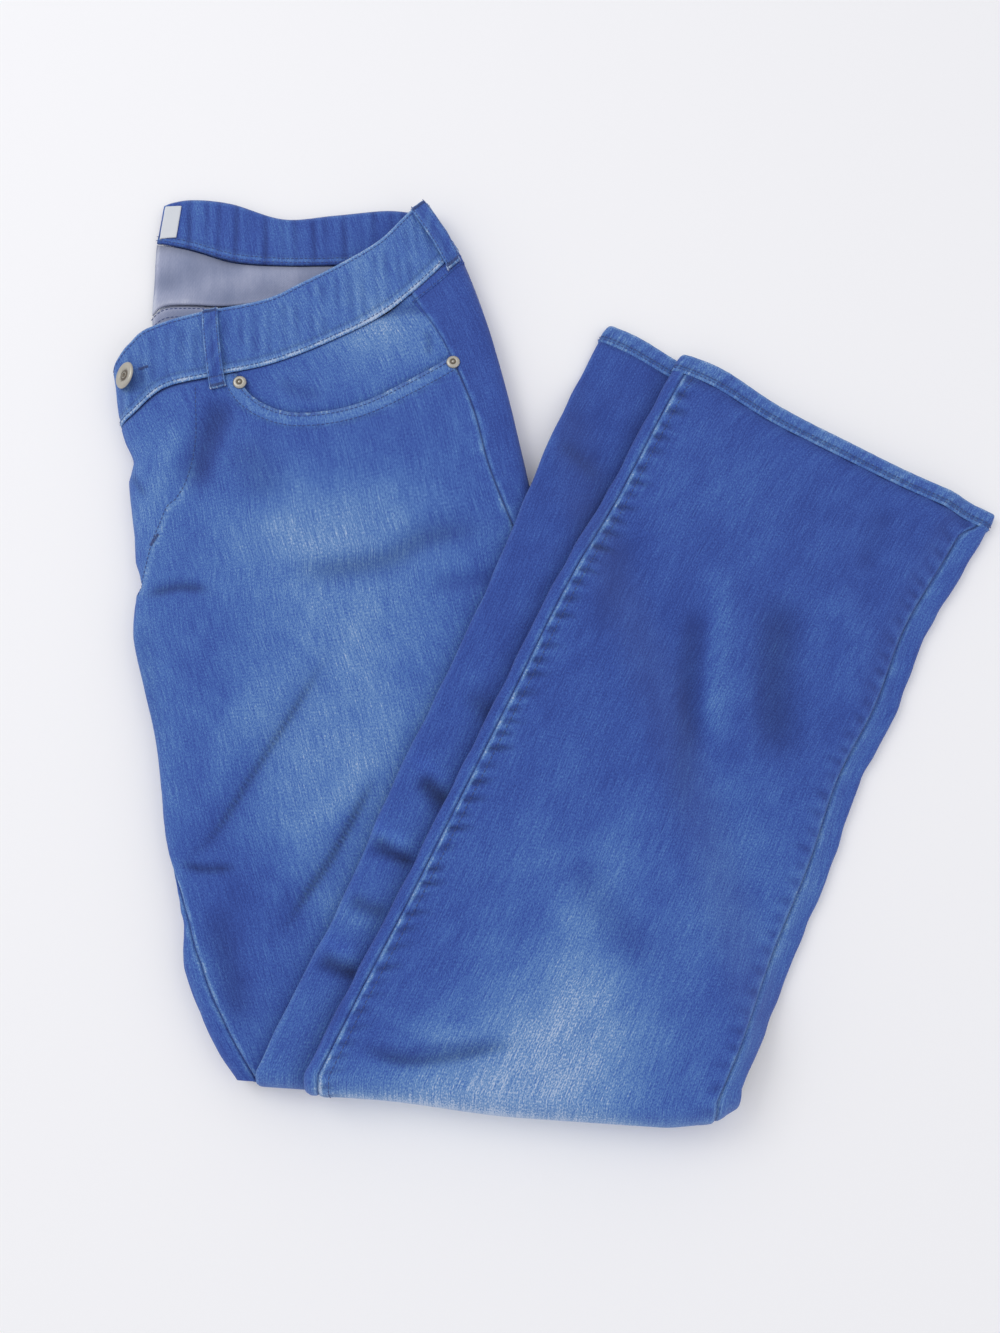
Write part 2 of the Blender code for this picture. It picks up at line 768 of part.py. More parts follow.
def facing_grid():
    grid = []
    for s in (PANEL_START, 1.35, 1.7, 2.0, 2.4, 2.8):
        row = []
        for r in reaches(0.0, side_seam_reach(s) - SEAM_GAP, 12, fine_start=True)[6:]:
            x, y, z = thigh_around(s, r)
            row.append([x, y, z - POCKET_STEP])
        grid.append(row)
    return grid


def main():
    clear_scene()
    scene = bpy.context.scene.collection
    parts = bpy.data.collections.new("folded_jeans")
    cutters = bpy.data.collections.new("cutters")
    scene.children.link(parts)
    scene.children.link(cutters)
    denim = make_material("denim", DENIM, 0.9)
    faded = make_material("faded_denim", FADED_DENIM, 0.9)
    inside = make_material("denim_wrong_side", INSIDE_DENIM, 0.95)
    white = make_material("woven_label", LABEL_WHITE, 0.8)
    metal = make_material("pale_metal", PALE_METAL, 0.35, 1.0)

    # Thigh stack, left leg on top.
    waistband = cloth_wall("waistband_left", band_grid(), BAND_CLOTH)
    front = cloth_wall("left_front_thigh", front_grid(), CLOTH)
    yoke = cloth_wall("yoke_left_side", back_side_grid(PANEL_START, YOKE_END), CLOTH)
    side = cloth_wall("left_back_side", back_side_grid(YOKE_END + 0.008, LAST_THIGH_ROW - 0.02), CLOTH)
    inseam = cloth_wall("left_back_inseam", back_inseam_grid(), CLOTH)
    facing = cloth_wall("pocket_facing", facing_grid(), FACING_CLOTH)
    mouth = prism("pocket_mouth", POCKET_MOUTH, 5.0, 30.0)
    inner_mouth = prism("pocket_inner_mouth", inset_outline(POCKET_MOUTH, SEAM_GAP + 0.1), 5.0, 30.0)
    cut(front, mouth, "DIFFERENCE")
    cut(facing, inner_mouth, "INTERSECT")
    for piece in (mouth, inner_mouth):
        piece.hide_render = True
        piece.display_type = "WIRE"
        link(piece, cutters, denim)
    for piece in (waistband, front, yoke, side, inseam):
        link(piece, parts, denim)
    link(facing, parts, faded)

    # Right leg underneath.
    lower = {
        "waistband_right": band_grid(False),
        "right_front_thigh": front_grid(False),
        "right_back_side": back_side_grid(PANEL_START, LAST_THIGH_ROW - 0.02, False),
        "right_back_inseam": back_inseam_grid(False),
    }
    for name, grid in lower.items():
        link(cloth_wall(name, turned(grid), CLOTH), parts, denim)

    # The open waist: inside of the left back, and the right back under it.
    backs = (("left", BACK_FACE, 0.0, CURL_DROP, inside),
             ("right", RIGHT_BACK_FACE, RIGHT_BACK_IN, 0.0, denim))
    for side_name, height, left_in, drop, cloth in backs:
        band = between(BACK_TOP, BACK_BAND_SEAM, 0.0, 0.99, height, 3, left_in, drop)
        yoke_in = between(BACK_BAND_SEAM, YOKE_SEAM, 0.01, 0.99, height, 3, left_in, drop)
        back_in = between(YOKE_SEAM, MOUTH_END, 0.004, 1.0, height, 4, left_in, drop)
        link(cloth_wall(f"waistband_{side_name}_back", band, CLOTH), parts, cloth)
        link(cloth_wall(f"yoke_{side_name}_back", yoke_in, CLOTH), parts, cloth)
        link(cloth_wall(f"{side_name}_back_waist", back_in, CLOTH), parts, cloth)

    # Hidden layers: one rounded solid from the waist's depth into the knee fold.
    rings = [hidden_ring(s) for s in row_run(2.0, LAST_THIGH_ROW)]
    rings += [hidden_lip(out) for out in LIP_STEPS]
    link(closed_loft("hidden_layers", rings), parts, inside)

    # Lower legs.
    legs = {
        "left_back_shin": left_back_shin_grid(),
        "left_front_shin": left_front_shin_grid(),
        "right_back_shin": right_back_shin_grid(),
        "right_front_shin": right_front_shin_grid(),
        "left_back_knee": knee_grid(SECOND_LEG, INNER_KNEE_ROLL, FOLD_FLOOR, second_edges(LAST_LEG_ROW)[0],
                                    second_edges(LAST_LEG_ROW)[1] - 4, -62),
        "right_front_knee": knee_grid(TOP_LEG, KNEE_ROLL, 0.0, 0.0, top_edges(LAST_LEG_ROW)[1], -88),
    }
    for name, grid in legs.items():
        link(cloth_wall(name, grid, CLOTH, mirrored=name in UNDER_FACES), parts, denim)
    for name, leg in (("hem_left", SECOND_LEG), ("hem_right", TOP_LEG)):
        link(cloth_wall(name, hem_grid(leg), HEM_CLOTH, round_way=True), parts, denim)

    # Button, rivets, belt loops and label.
    button_z = thigh_height(0.5, 20.0) + BUTTON_RISE
    button = turned_piece("button", BUTTON_PROFILE, (*BUTTON_PLACE, button_z), (0.0, -BUTTON_TILT, 0.0))
    link(button, parts, metal)
    for name, (x, y) in RIVET_PLACES:
        link(turned_piece(name, RIVET_PROFILE, (x, y, THIGH_TOP + 0.4), (0.0, 0.0, 0.0)), parts, metal)
    front_loop = loop_grid(np.linspace(0.03, 1.25, 7), front_loop_middle)
    side_loop = loop_grid(np.linspace(0.03, 1.12, 7), side_loop_middle)
    link(cloth_wall("belt_loop_front", front_loop, LOOP_CLOTH), parts, denim)
    link(cloth_wall("belt_loop_side", side_loop, LOOP_CLOTH), parts, denim)
    label = prism("label", LABEL_OUTLINE, BACK_FACE + 0.3, BACK_FACE + 0.3 + LABEL_CLOTH)
    link(label, parts, white)


main()
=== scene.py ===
import math

import bmesh
import bpy
import numpy as np
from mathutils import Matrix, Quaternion, Vector
from mathutils.bvhtree import BVHTree


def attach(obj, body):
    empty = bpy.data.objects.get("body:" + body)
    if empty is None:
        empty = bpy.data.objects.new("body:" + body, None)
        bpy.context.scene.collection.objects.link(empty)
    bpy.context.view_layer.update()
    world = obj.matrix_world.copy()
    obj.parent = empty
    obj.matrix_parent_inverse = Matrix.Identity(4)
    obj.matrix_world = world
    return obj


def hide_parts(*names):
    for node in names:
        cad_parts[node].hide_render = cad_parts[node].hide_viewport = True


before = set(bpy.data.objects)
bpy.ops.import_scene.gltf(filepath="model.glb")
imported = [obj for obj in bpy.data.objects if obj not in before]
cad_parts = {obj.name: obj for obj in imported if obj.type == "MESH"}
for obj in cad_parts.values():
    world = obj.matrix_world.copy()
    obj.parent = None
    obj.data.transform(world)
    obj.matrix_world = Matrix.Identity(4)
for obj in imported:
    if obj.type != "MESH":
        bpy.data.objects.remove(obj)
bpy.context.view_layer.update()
print("frame loaded:", len(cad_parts), "nodes")

mm = 0.001
planCentre = np.array([28.0, 31.4])  # middle of the folded garment's plan, as in the CAD

# Bootcut jeans folded along the centre seams, both lower legs folded up over the thighs.
# Lengths are in millimetres: X to the right, Y away from the knees, Z up from the table.

garment = {
    "cloth": 1.5,
    "bandCloth": 2.2,
    "hemCloth": 2.1,
    "seamGap": 0.3,
    "thighTop": 17.0,
    "groove": 8.5,       # where the left leg's rolled edge parts from the right leg's
    "layerGap": 1.0,
    "legThickness": 6.0,
    "bandLift": 1.2,
    "roll": 7.0,
    "frontRoll": 18.0,
    "legRoll": 4.5,
    "hemRows": 0.386,
    "bareFromY": 170,    # past this no lower leg lies on the thigh
}

thighRows = (  # waist to knee: plan points left to right, and how far the left edge parts in two rolls
    {"line": ((-263, 203), (-251, 219), (-240, 230), (-211, 241), (-163, 252), (-138, 265), (-112, 280),
              (-86, 298), (-67, 319), (-54, 330)), "parted": 0.0},
    {"line": ((-254, 161), (-244, 168), (-225, 186), (-192, 195), (-155, 204), (-116, 221), (-76, 245),
              (-31, 290)), "parted": 0.0},
    {"line": ((-246, 138), (-11, 236)), "parted": 0.0},
    {"line": ((-243, 105), (3, 183)), "parted": 0.0},
    {"line": ((-238, 72), (13, 138)), "parted": 0.1},
    {"line": ((-234, 48), (23, 94)), "parted": 0.5},
    {"line": ((-233, 16), (38, 46)), "parted": 1.0},
    {"line": ((-224, -18), (55, 0)), "parted": 1.0},
    {"line": ((-214, -54), (69, -46)), "parted": 1.0},
    {"line": ((-206, -102), (84, -98)), "parted": 1.0},
    {"line": ((-194, -144), (98, -148)), "parted": 1.0},
    {"line": ((-187, -186), (110, -192)), "parted": 1.0},
    {"line": ((-176, -216), (120, -230)), "parted": 1.0},
    {"line": ((-153, -251), (127, -261)), "parted": 1.0},
)
sideSeamIn = (46, 46, 33, 25, 23, 17, 14, 12, 12, 12, 12, 12, 12, 12)  # side seam in from the right edge
inseamStart = 8.5
inseamReach = {"row": (8.5, 9.0, 9.5, 10.0, 10.5, 11.0, 12.0, 13.0),
               "reach": (0.4, 3.0, 8.0, 13.0, 16.0, 21.5, 24.2, 23.2)}

# Hem to fold: the upper leg's edges, and how far the leg under it lies out at the left and in at the right.
legRows = (
    {"left": (118, 213), "right": (321.5, 100), "underLeft": -55, "underRight": 45},
    {"left": (96, 172), "right": (300.5, 67), "underLeft": -53, "underRight": 43},
    {"left": (61.5, 104), "right": (270.5, 20.5), "underLeft": -46, "underRight": 40},
    {"left": (28.5, 42), "right": (248, -30), "underLeft": -38, "underRight": 37},
    {"left": (-3, -24), "right": (222, -75), "underLeft": -36, "underRight": 35},
    {"left": (-33, -86), "right": (201, -127), "underLeft": -35, "underRight": 33},
    {"left": (-62, -146), "right": (180, -171), "underLeft": -31, "underRight": 31},
    {"left": (-90, -201), "right": (158, -218), "underLeft": -30, "underRight": 29},
    {"left": (-112, -246), "right": (137, -261), "underLeft": -29, "underRight": 27},
)
legFall = {"slant": 0.94, "from": 10.0, "to": 56.0, "stepFrom": 8.0, "stepTo": 32.0}
strips = {"inseam": 8.0, "outseam": 14.0, "under": 12.0, "underGap": 0.7}

backTop = ((-239, 333), (-220, 337), (-192, 334), (-155, 322), (-120, 325), (-85, 329), (-68, 328))
backBandSeam = ((-242, 302), (-218, 297), (-189, 288), (-161, 285), (-125, 285), (-85, 287), (-44, 290))
yokeSeam = ((-241, 246), (-232, 253), (-213, 254), (-185, 254), (-120, 264), (-42, 279))
mouthEnd = ((-230, 148), (-22, 235.5))
flyPath = ((-203, 186), (-201, 150), (-205, 121), (-211, 107), (-216, 102), (-220, 90), (-224, 78),
           (-227, 62), (-231, 44))
pocketBack = ((-10, 232), (-30, 330), (-120, 330), (-183, 240))  # closes the mouth's line round the opening
pocketMouth = ((-181, 214), (-179, 200), (-175, 191), (-167, 181), (-154, 173), (-137, 169), (-114, 171),
               (-91, 178), (-67, 191), (-47, 203), (-31, 213), (-18, 222))

# Soft troughs (depth below 0) and ridges on the cloth: the line each follows, its half width and depth.
thighFolds = (
    {"path": ((-76, -70), (-89, -95), (-104, -124), (-119, -147), (-131, -169)), "half": 4.5, "depth": -1.3},
    {"path": ((-70, -60), (-89, -95), (-104, -124), (-122, -150), (-138, -180)), "half": 17, "depth": -1.1},
    {"path": ((-109, 6), (-133, -37), (-155, -75), (-176, -111), (-194, -127)), "half": 4.0, "depth": -0.9},
    {"path": ((-104, 14), (-133, -37), (-155, -75), (-176, -111), (-198, -132)), "half": 16, "depth": -1.0},
    {"path": ((-192, -128), (-176, -129), (-160, -128)), "half": 5, "depth": -1.2},
    {"path": ((-142, 60), (-110, 60), (-75, 66), (-54, 83), (-33, 91), (-5, 94)), "half": 18, "depth": -1.5},
    {"path": ((-48, 50), (-20, 54), (5, 58)), "half": 11, "depth": -1.2},
    {"path": ((-228, 44), (-206, 50), (-186, 46)), "half": 8, "depth": -1.4},
    {"path": ((-182, 186), (-195, 155), (-202, 131), (-199, 108)), "half": 18, "depth": -2.0},
    {"path": ((-214, 168), (-222, 132), (-228, 96)), "half": 11, "depth": 0.9},
    {"path": ((-150, -10), (-172, -60), (-186, -95)), "half": 16, "depth": 0.9},
    {"path": ((-60, -20), (-84, -70), (-112, -112)), "half": 18, "depth": 0.8},
    {"path": ((-168, -140), (-158, -190), (-146, -226)), "half": 15, "depth": -0.9},
    {"path": ((-230, 30), (-222, -20), (-210, -62)), "half": 12, "depth": -1.0},
)
topLegFolds = (
    {"path": ((136, 70), (141, 41), (138, 13), (133, -24), (134, -64)), "half": 15, "depth": 1.2},
    {"path": ((127, 44), (119, -12), (120, -66)), "half": 14, "depth": -1.7},
    {"path": ((182, 52), (171, -12), (172, -72)), "half": 24, "depth": -2.0},
    {"path": ((-82, -231), (-56, -237), (-33, -234), (-11, -230), (10, -226)), "half": 8, "depth": -2.1},
    {"path": ((-84, -204), (-64, -213), (-47, -221), (-28, -224), (0, -222)), "half": 9, "depth": 1.4},
    {"path": ((40, -120), (62, -155), (92, -192)), "half": 20, "depth": -1.2},
    {"path": ((208, 60), (226, 20), (214, -30)), "half": 18, "depth": 1.0},
    {"path": ((84, 96), (70, 46), (52, 4)), "half": 16, "depth": -1.0},
    {"path": ((252, 110), (240, 84), (232, 56)), "half": 13, "depth": -0.9},
    {"path": ((10, -90), (30, -130), (40, -176)), "half": 16, "depth": 0.8},
)
underLegFolds = (
    {"path": ((-84, -119), (-66, -121), (-45, -128)), "half": 5, "depth": -1.8},
    {"path": ((-86, -108), (-68, -111), (-48, -118)), "half": 7, "depth": 1.3},
    {"path": ((-112, -184), (-98, -189), (-80, -194)), "half": 5, "depth": -1.6},
    {"path": ((-112, -174), (-98, -179), (-80, -184)), "half": 7, "depth": 1.1},
    {"path": ((-98, -152), (-86, -160), (-72, -166)), "half": 8, "depth": 1.0},
    {"path": ((-48, -72), (-40, -88), (-34, -100)), "half": 10, "depth": -1.6},
    {"path": ((-20, -14), (-8, -30), (4, -46)), "half": 14, "depth": -0.8},
    {"path": ((20, 70), (36, 60), (52, 54)), "half": 16, "depth": 0.7},
    {"path": ((34, 150), (56, 140), (72, 138)), "half": 15, "depth": -0.8},
)

# Worn patches: centre, the two radii, how far the long one is turned from +Y, and strength.
thighFades = (
    {"at": (-116, 86), "radii": (80, 42), "turn": 8, "strength": 0.37},
    {"at": (-92, -4), "radii": (62, 70), "turn": 12, "strength": 0.29},
    {"at": (-70, 26), "radii": (46, 26), "turn": 4, "strength": 0.05},
    {"at": (-150, -44), "radii": (30, 60), "turn": 8, "strength": 0.10},
    {"at": (-158, -148), "radii": (32, 34), "turn": 10, "strength": -0.14},
    {"at": (-112, -84), "radii": (42, 60), "turn": 10, "strength": 0.22},
    {"at": (-64, -96), "radii": (20, 34), "turn": 24, "strength": 0.14},
    {"at": (-232, 120), "radii": (20, 60), "turn": 0, "strength": 0.22},
    {"at": (-222, -30), "radii": (18, 80), "turn": 10, "strength": 0.26},
    {"at": (-186, -196), "radii": (14, 50), "turn": 8, "strength": 0.18},
    {"at": (-100, -150), "radii": (30, 44), "turn": 24, "strength": 0.12},
    {"at": (-206, 144), "radii": (9, 34), "turn": -4, "strength": 0.10},
)
topLegFades = (
    {"at": (36, -228), "radii": (60, 50), "turn": -20, "strength": 0.38},
    {"at": (50, -208), "radii": (30, 34), "turn": -27, "strength": 0.20},
    {"at": (56, -146), "radii": (20, 56), "turn": -27, "strength": 0.24},
    {"at": (172, -140), "radii": (22, 50), "turn": -22, "strength": 0.16},
    {"at": (172, 10), "radii": (20, 46), "turn": -22, "strength": 0.13},
    {"at": (-10, -226), "radii": (40, 26), "turn": 0, "strength": 0.14},
    {"at": (86, -160), "radii": (44, 54), "turn": -27, "strength": 0.10},
    {"at": (-10, -262), "radii": (110, 26), "turn": 0, "strength": 0.34},
    {"at": (-60, -268), "radii": (70, 26), "turn": 4, "strength": 0.22},
    {"at": (140, 120), "radii": (60, 40), "turn": -28, "strength": 0.10},
    {"at": (10, -120), "radii": (40, 90), "turn": -25, "strength": 0.12},
    {"at": (136, -130), "radii": (26, 90), "turn": -20, "strength": 0.18},
    {"at": (134, -20), "radii": (12, 70), "turn": -8, "strength": 0.10},
)
underLegFades = (
    {"at": (-140, -250), "radii": (50, 50), "turn": -25, "strength": 0.26},
    {"at": (-60, -118), "radii": (22, 110), "turn": -25, "strength": 0.16},
    {"at": (-92, -158), "radii": (14, 14), "turn": 0, "strength": 0.12},
)

# Narrow lines of painted shade where the cloth is creased, or of painted highlight beside a fold where the
# strength is below 0: the line, its half width and strength.
thighLines = (
    {"path": ((-76, -70), (-89, -95), (-104, -124), (-119, -147), (-131, -169)), "half": 1.8,
     "strength": 0.62},
    {"path": ((-109, 6), (-133, -37), (-155, -75), (-176, -111), (-194, -127)), "half": 1.7,
     "strength": 0.50},
    {"path": ((-196, -126), (-178, -130), (-158, -128)), "half": 2.6, "strength": 0.42},
    {"path": ((-142, 60), (-110, 61), (-75, 68), (-54, 80), (-33, 86), (-5, 90)), "half": 7.0,
     "strength": 0.22},
    {"path": ((-230, 42), (-206, 48), (-184, 46)), "half": 3.0, "strength": 0.42},
    {"path": ((-184, 186), (-193, 155), (-198, 131), (-196, 108)), "half": 9.0, "strength": 0.26},
    {"path": ((-178, 150), (-160, 128), (-152, 104)), "half": 14.0, "strength": 0.16},
    {"path": ((-244, 128), (-238, 118), (-231, 108)), "half": 2.0, "strength": 0.30},
    {"path": ((-176, -150), (-160, -196), (-150, -226)), "half": 8.0, "strength": 0.20},
)
topLegLines = (
    {"path": ((-86, -228), (-60, -238), (-36, -238), (-10, -233), (14, -228)), "half": 3.2,
     "strength": 0.34},
    {"path": ((122, 46), (116, -6), (112, -60), (104, -110)), "half": 9.0, "strength": 0.20},
    {"path": ((180, 56), (170, -6), (172, -66)), "half": 13.0, "strength": 0.22},
)
underLegLines = (
    {"path": ((-56, -58), (-42, -72), (-30, -80)), "half": 5.0, "strength": -0.16},
    {"path": ((-84, -98), (-68, -110), (-52, -116)), "half": 4.5, "strength": -0.16},
    {"path": ((-110, -168), (-96, -176), (-82, -180)), "half": 4.5, "strength": -0.16},
    {"path": ((-52, -72), (-40, -84), (-28, -92)), "half": 6.0, "strength": 0.58},
    {"path": ((-80, -110), (-66, -120), (-50, -128)), "half": 4.6, "strength": 0.58},
    {"path": ((-92, -146), (-80, -152), (-66, -156)), "half": 4.6, "strength": 0.46},
    {"path": ((-108, -180), (-94, -187), (-80, -191)), "half": 4.8, "strength": 0.56},
    {"path": ((-22, -20), (-10, -34), (2, -44)), "half": 6.0, "strength": 0.25},
    {"path": ((34, 150), (52, 136), (64, 120)), "half": 6.0, "strength": 0.22},
)


def mix(a, b, share):
    return a + (b - a) * share


def smoothStep(low, high, value):
    share = np.clip((np.asarray(value, float) - low) / (high - low), 0.0, 1.0)
    return share * share * (3.0 - 2.0 * share)


def throughRows(values, s):  # a smooth curve through a table's rows
    values = np.asarray(values, float)
    last = len(values) - 1
    s = np.clip(np.asarray(s, float), 0.0, last)
    k = np.minimum(s.astype(int), last - 1)
    t = (s - k).reshape(s.shape + (1,) * (values.ndim - 1))
    before, a = values[np.maximum(k - 1, 0)], values[k]
    b, after = values[k + 1], values[np.minimum(k + 2, last)]
    return 0.5 * (2 * a + (b - before) * t + (2 * before - 5 * a + 4 * b - after) * t**2
                  + (3 * a - before - 3 * b + after) * t**3)


def smoothLine(points, count):  # evenly spaced points on a smooth curve through a line's points
    fine = throughRows(points, np.linspace(0, len(points) - 1, 40 * len(points)))
    steps = np.concatenate([[0.0], np.cumsum(np.linalg.norm(np.diff(fine, axis=0), axis=1))])
    even = np.linspace(0, steps[-1], count)
    return np.stack([np.interp(even, steps, fine[:, k]) for k in range(fine.shape[1])], axis=1)


def lineLength(points):
    return float(np.linalg.norm(np.diff(np.asarray(points, float), axis=0), axis=1).sum())


def alongPath(path, x, y):  # distance to a path, and how far along it, from 0 to 1
    path = np.asarray(path, float)
    x, y = np.asarray(x, float), np.asarray(y, float)
    best = np.full(x.shape, 1e9)
    run = np.zeros(x.shape)
    total, passed = lineLength(path), 0.0
    for a, b in zip(path[:-1], path[1:]):
        step = b - a
        length = np.linalg.norm(step)
        t = np.clip(((x - a[0]) * step[0] + (y - a[1]) * step[1]) / length**2, 0, 1)
        distance = np.hypot(x - a[0] - step[0] * t, y - a[1] - step[1] * t)
        nearer = distance < best
        best = np.where(nearer, distance, best)
        run = np.where(nearer, (passed + t * length) / total, run)
        passed += length
    return best, run


def foldRelief(folds, x, y):  # summed height of soft folds at plan points, fading at both ends of each
    relief = np.zeros(np.shape(x))
    for fold in folds:
        distance, run = alongPath(fold["path"], x, y)
        taper = smoothStep(0.0, 0.25, run) * (1 - smoothStep(0.72, 1.0, run))
        across = np.clip(distance / fold["half"], 0, 1)
        relief += fold["depth"] * taper * (0.5 + 0.5 * np.cos(np.pi * across))
    return relief


def patches(fades, x, y):  # summed strength of worn patches at plan points
    total = np.zeros(np.shape(x))
    for fadeAndLight in fades:
        turn = math.radians(fadeAndLight["turn"])
        dx, dy = x - fadeAndLight["at"][0], y - fadeAndLight["at"][1]
        across = dx * math.cos(turn) + dy * math.sin(turn)
        along = -dx * math.sin(turn) + dy * math.cos(turn)
        total += fadeAndLight["strength"] * np.exp(-((across / fadeAndLight["radii"][0])**2 + (along / fadeAndLight["radii"][1])**2))
    return total


def lineShade(lines, x, y):  # painted shade of crease lines at plan points, painted highlight where the strength is below 0, fading at both ends of each
    total = np.zeros(np.shape(x))
    for line in lines:
        distance, run = alongPath(smoothLine(line["path"], 24), x, y)
        taper = smoothStep(-0.02, 0.3, run) * (1 - smoothStep(0.7, 1.02, run))
        total += line["strength"] * np.exp(-(distance / line["half"]) ** 2) * taper
    return total


def wobble(value, wave, seed):  # a smooth uneven wave from -1 to 1 with about this wavelength
    value = np.asarray(value, float)
    total = np.zeros(value.shape)
    for k, (share, weight) in enumerate(((1.0, 0.55), (0.63, 0.25), (1.71, 0.2))):
        total += weight * np.sin(2 * np.pi * value / (wave * share) + seed * (2.1 + k) + 1.7 * k)
    return total


def wobbleField(x, y, wave, seed):
    return 0.5 * (wobble(0.8 * x + 0.6 * y, wave, seed) * wobble(0.55 * y - 0.83 * x, wave * 1.3, seed + 3)
                  + wobble(0.95 * y - 0.3 * x, wave * 1.17, seed + 7))


# Thigh stack

shares = np.linspace(0, 1, 161)
rowPoints = np.stack([smoothLine(row["line"], len(shares)) for row in thighRows])
rowLengths = np.array([lineLength(points) for points in rowPoints])
rowParted = np.array([row["parted"] for row in thighRows])
lastThighRow = len(thighRows) - 1
edgeDetail = ((-250, 0.0), (-238, 1.2), (-226, 0.5), (-213, -0.6), (-200, 0.4), (-188, 1.6), (-178, 0.8),
              (-164, -1.4),
              (-150, 0.2), (-120, 0.6), (-90, -0.4), (-54, 0.3), (-18, 0.6), (10, 1.0), (36, 1.6), (44, 1.2),
              (50, -2.4), (56, -1.4), (66, 0.6), (84, -0.4), (104, 0.2), (122, 1.8), (136, -1.8), (148, 0.4),
              (170, 0.0))


def thighWidth(s):
    return float(throughRows(rowLengths, s))


def thighPlan(s, q):  # plan points on row s, q mm in from the left edge
    row = throughRows(rowPoints, s)
    share = np.asarray(q, float) / thighWidth(s)
    x, y = np.interp(share, shares, row[:, 0]), np.interp(share, shares, row[:, 1])
    out = np.interp(y, [item[0] for item in edgeDetail], [item[1] for item in edgeDetail])
    return x - out * np.exp(-np.maximum(q, 0) / 10.0), y


def thighEdgeX(y):
    ends = sorted((row["line"][-1][1], row["line"][-1][0]) for row in thighRows)
    return np.interp(y, [end[0] for end in ends], [end[1] for end in ends])


def secondLegLeftX(y):
    ends = []
    for row in legRows:
        left = np.array(row["left"], float)
        across = np.array(row["right"], float) - left
        point = left + across / np.linalg.norm(across) * row["underLeft"]
        ends.append((point[1], point[0]))
    ends.sort()
    return np.interp(y, [end[0] for end in ends], [end[1] for end in ends])


def thighHeight(s, x, y):
    relief = foldRelief(thighFolds, x, y) + 0.35 * wobbleField(x, y, 46, 2.0)
    beside = x - secondLegLeftX(y)
    bare = y > garment["bareFromY"]
    # Ridges end before the leg on top, and troughs run in under it.
    ridges = np.where(bare, 1.0, 1 - smoothStep(-14, -2, beside))
    troughs = np.where(bare, 1.0, 1 - smoothStep(0, 14, beside))
    relief = relief * np.where(relief > 0, ridges, troughs)
    return garment["thighTop"] + (garment["bandLift"] if s < 1 else 0.0) + relief


def rollLength(depth):
    return math.pi * math.sqrt((depth**2 + (garment["groove"] / 2) ** 2) / 2)


def leftRoll(s):
    parted = float(np.interp(s, range(len(rowParted)), rowParted))
    return parted, mix(garment["frontRoll"], garment["roll"], parted)


def upperLength(s):
    depth = leftRoll(s)[1]
    return rollLength(depth) + thighWidth(s) - depth - garment["roll"] + rollLength(garment["roll"])


def thighAround(s, reach, upper=True):  # points on the stack's face, reach mm round it from the left groove
    reach = np.asarray(reach, float)
    roll, groove = garment["roll"], garment["groove"]
    width, (parted, depth) = thighWidth(s), leftRoll(s)
    leftLength, rightLength, total = rollLength(depth), rollLength(roll), upperLength(s)
    onLeft, onRight = reach < leftLength, reach > total - rightLength
    angle = (np.pi * (np.clip(np.where(onLeft, reach / leftLength, (total - reach) / rightLength), 0, 1)
                      - 0.5))
    rise = (1 + np.sin(angle)) / 2
    leftQ = mix(garment["frontRoll"] * (1 - np.sqrt(np.maximum(0.0, 1 - rise**2))),
                roll * (1 - np.cos(angle)), parted)
    flat = depth + reach - leftLength
    q = np.where(onLeft, leftQ, np.where(onRight, width - roll * (1 - np.cos(angle)), flat))
    level = np.where(onLeft | onRight, rise, 1.0)
    rim = np.where(onLeft, depth, np.where(onRight, width - roll, flat))
    x, y = thighPlan(s, q)
    if upper:
        rimX, rimY = thighPlan(s, rim)
        low = groove + garment["seamGap"] / 2
        z = low + (thighHeight(s, rimX, rimY) - low) * level
    else:
        z = (groove - garment["seamGap"] / 2) * (1 - level)
    return np.stack([x, y, z], axis=-1)


def sideSeamReach(s):
    return upperLength(s) - rollLength(garment["roll"]) + garment["roll"] - float(throughRows(sideSeamIn, s))


def inseamAt(s):
    return float(np.interp(s, inseamReach["row"], inseamReach["reach"])) if s >= inseamStart else 0.0


# Lower legs

lastLegRow = len(legRows) - 1
legLeft = np.array([row["left"] for row in legRows], float)
legRight = np.array([row["right"] for row in legRows], float)
underLeft = np.array([row["underLeft"] for row in legRows], float)
underRight = np.array([row["underRight"] for row in legRows], float)
outlineSwell = {"hemEndWide": 42.0, "cornerWide": 22.0,
                "upper": {"hemEnd": 4.0, "hem": 6.5, "hemAt": 26.0, "hemWide": 34.0, "knee": 4.5,
                          "corner": 7.0},
                "under": {"hemEnd": 0.0, "hem": 3.5, "hemAt": -34.0, "hemWide": 26.0, "knee": 0.0,
                          "corner": 0.0}}
kneeFold = {"turns": 1.0, "pressed": 0.8,  # share of the leg's thickness that is left in the fold
            "upper": {"roll": 12.5, "floor": 0.0, "to": -88.0},
            "under": {"roll": 9.6, "floor": 3.0, "to": -62.0}}


def legFrame(s):
    left, right = throughRows(legLeft, s), throughRows(legRight, s)
    width = float(np.linalg.norm(right - left))
    return left, (right - left) / width, width


def legEdges(leg, s):
    width = legFrame(s)[2]
    if leg == "upper":
        return 0.0, width
    return float(throughRows(underLeft, s)), width - float(throughRows(underRight, s))


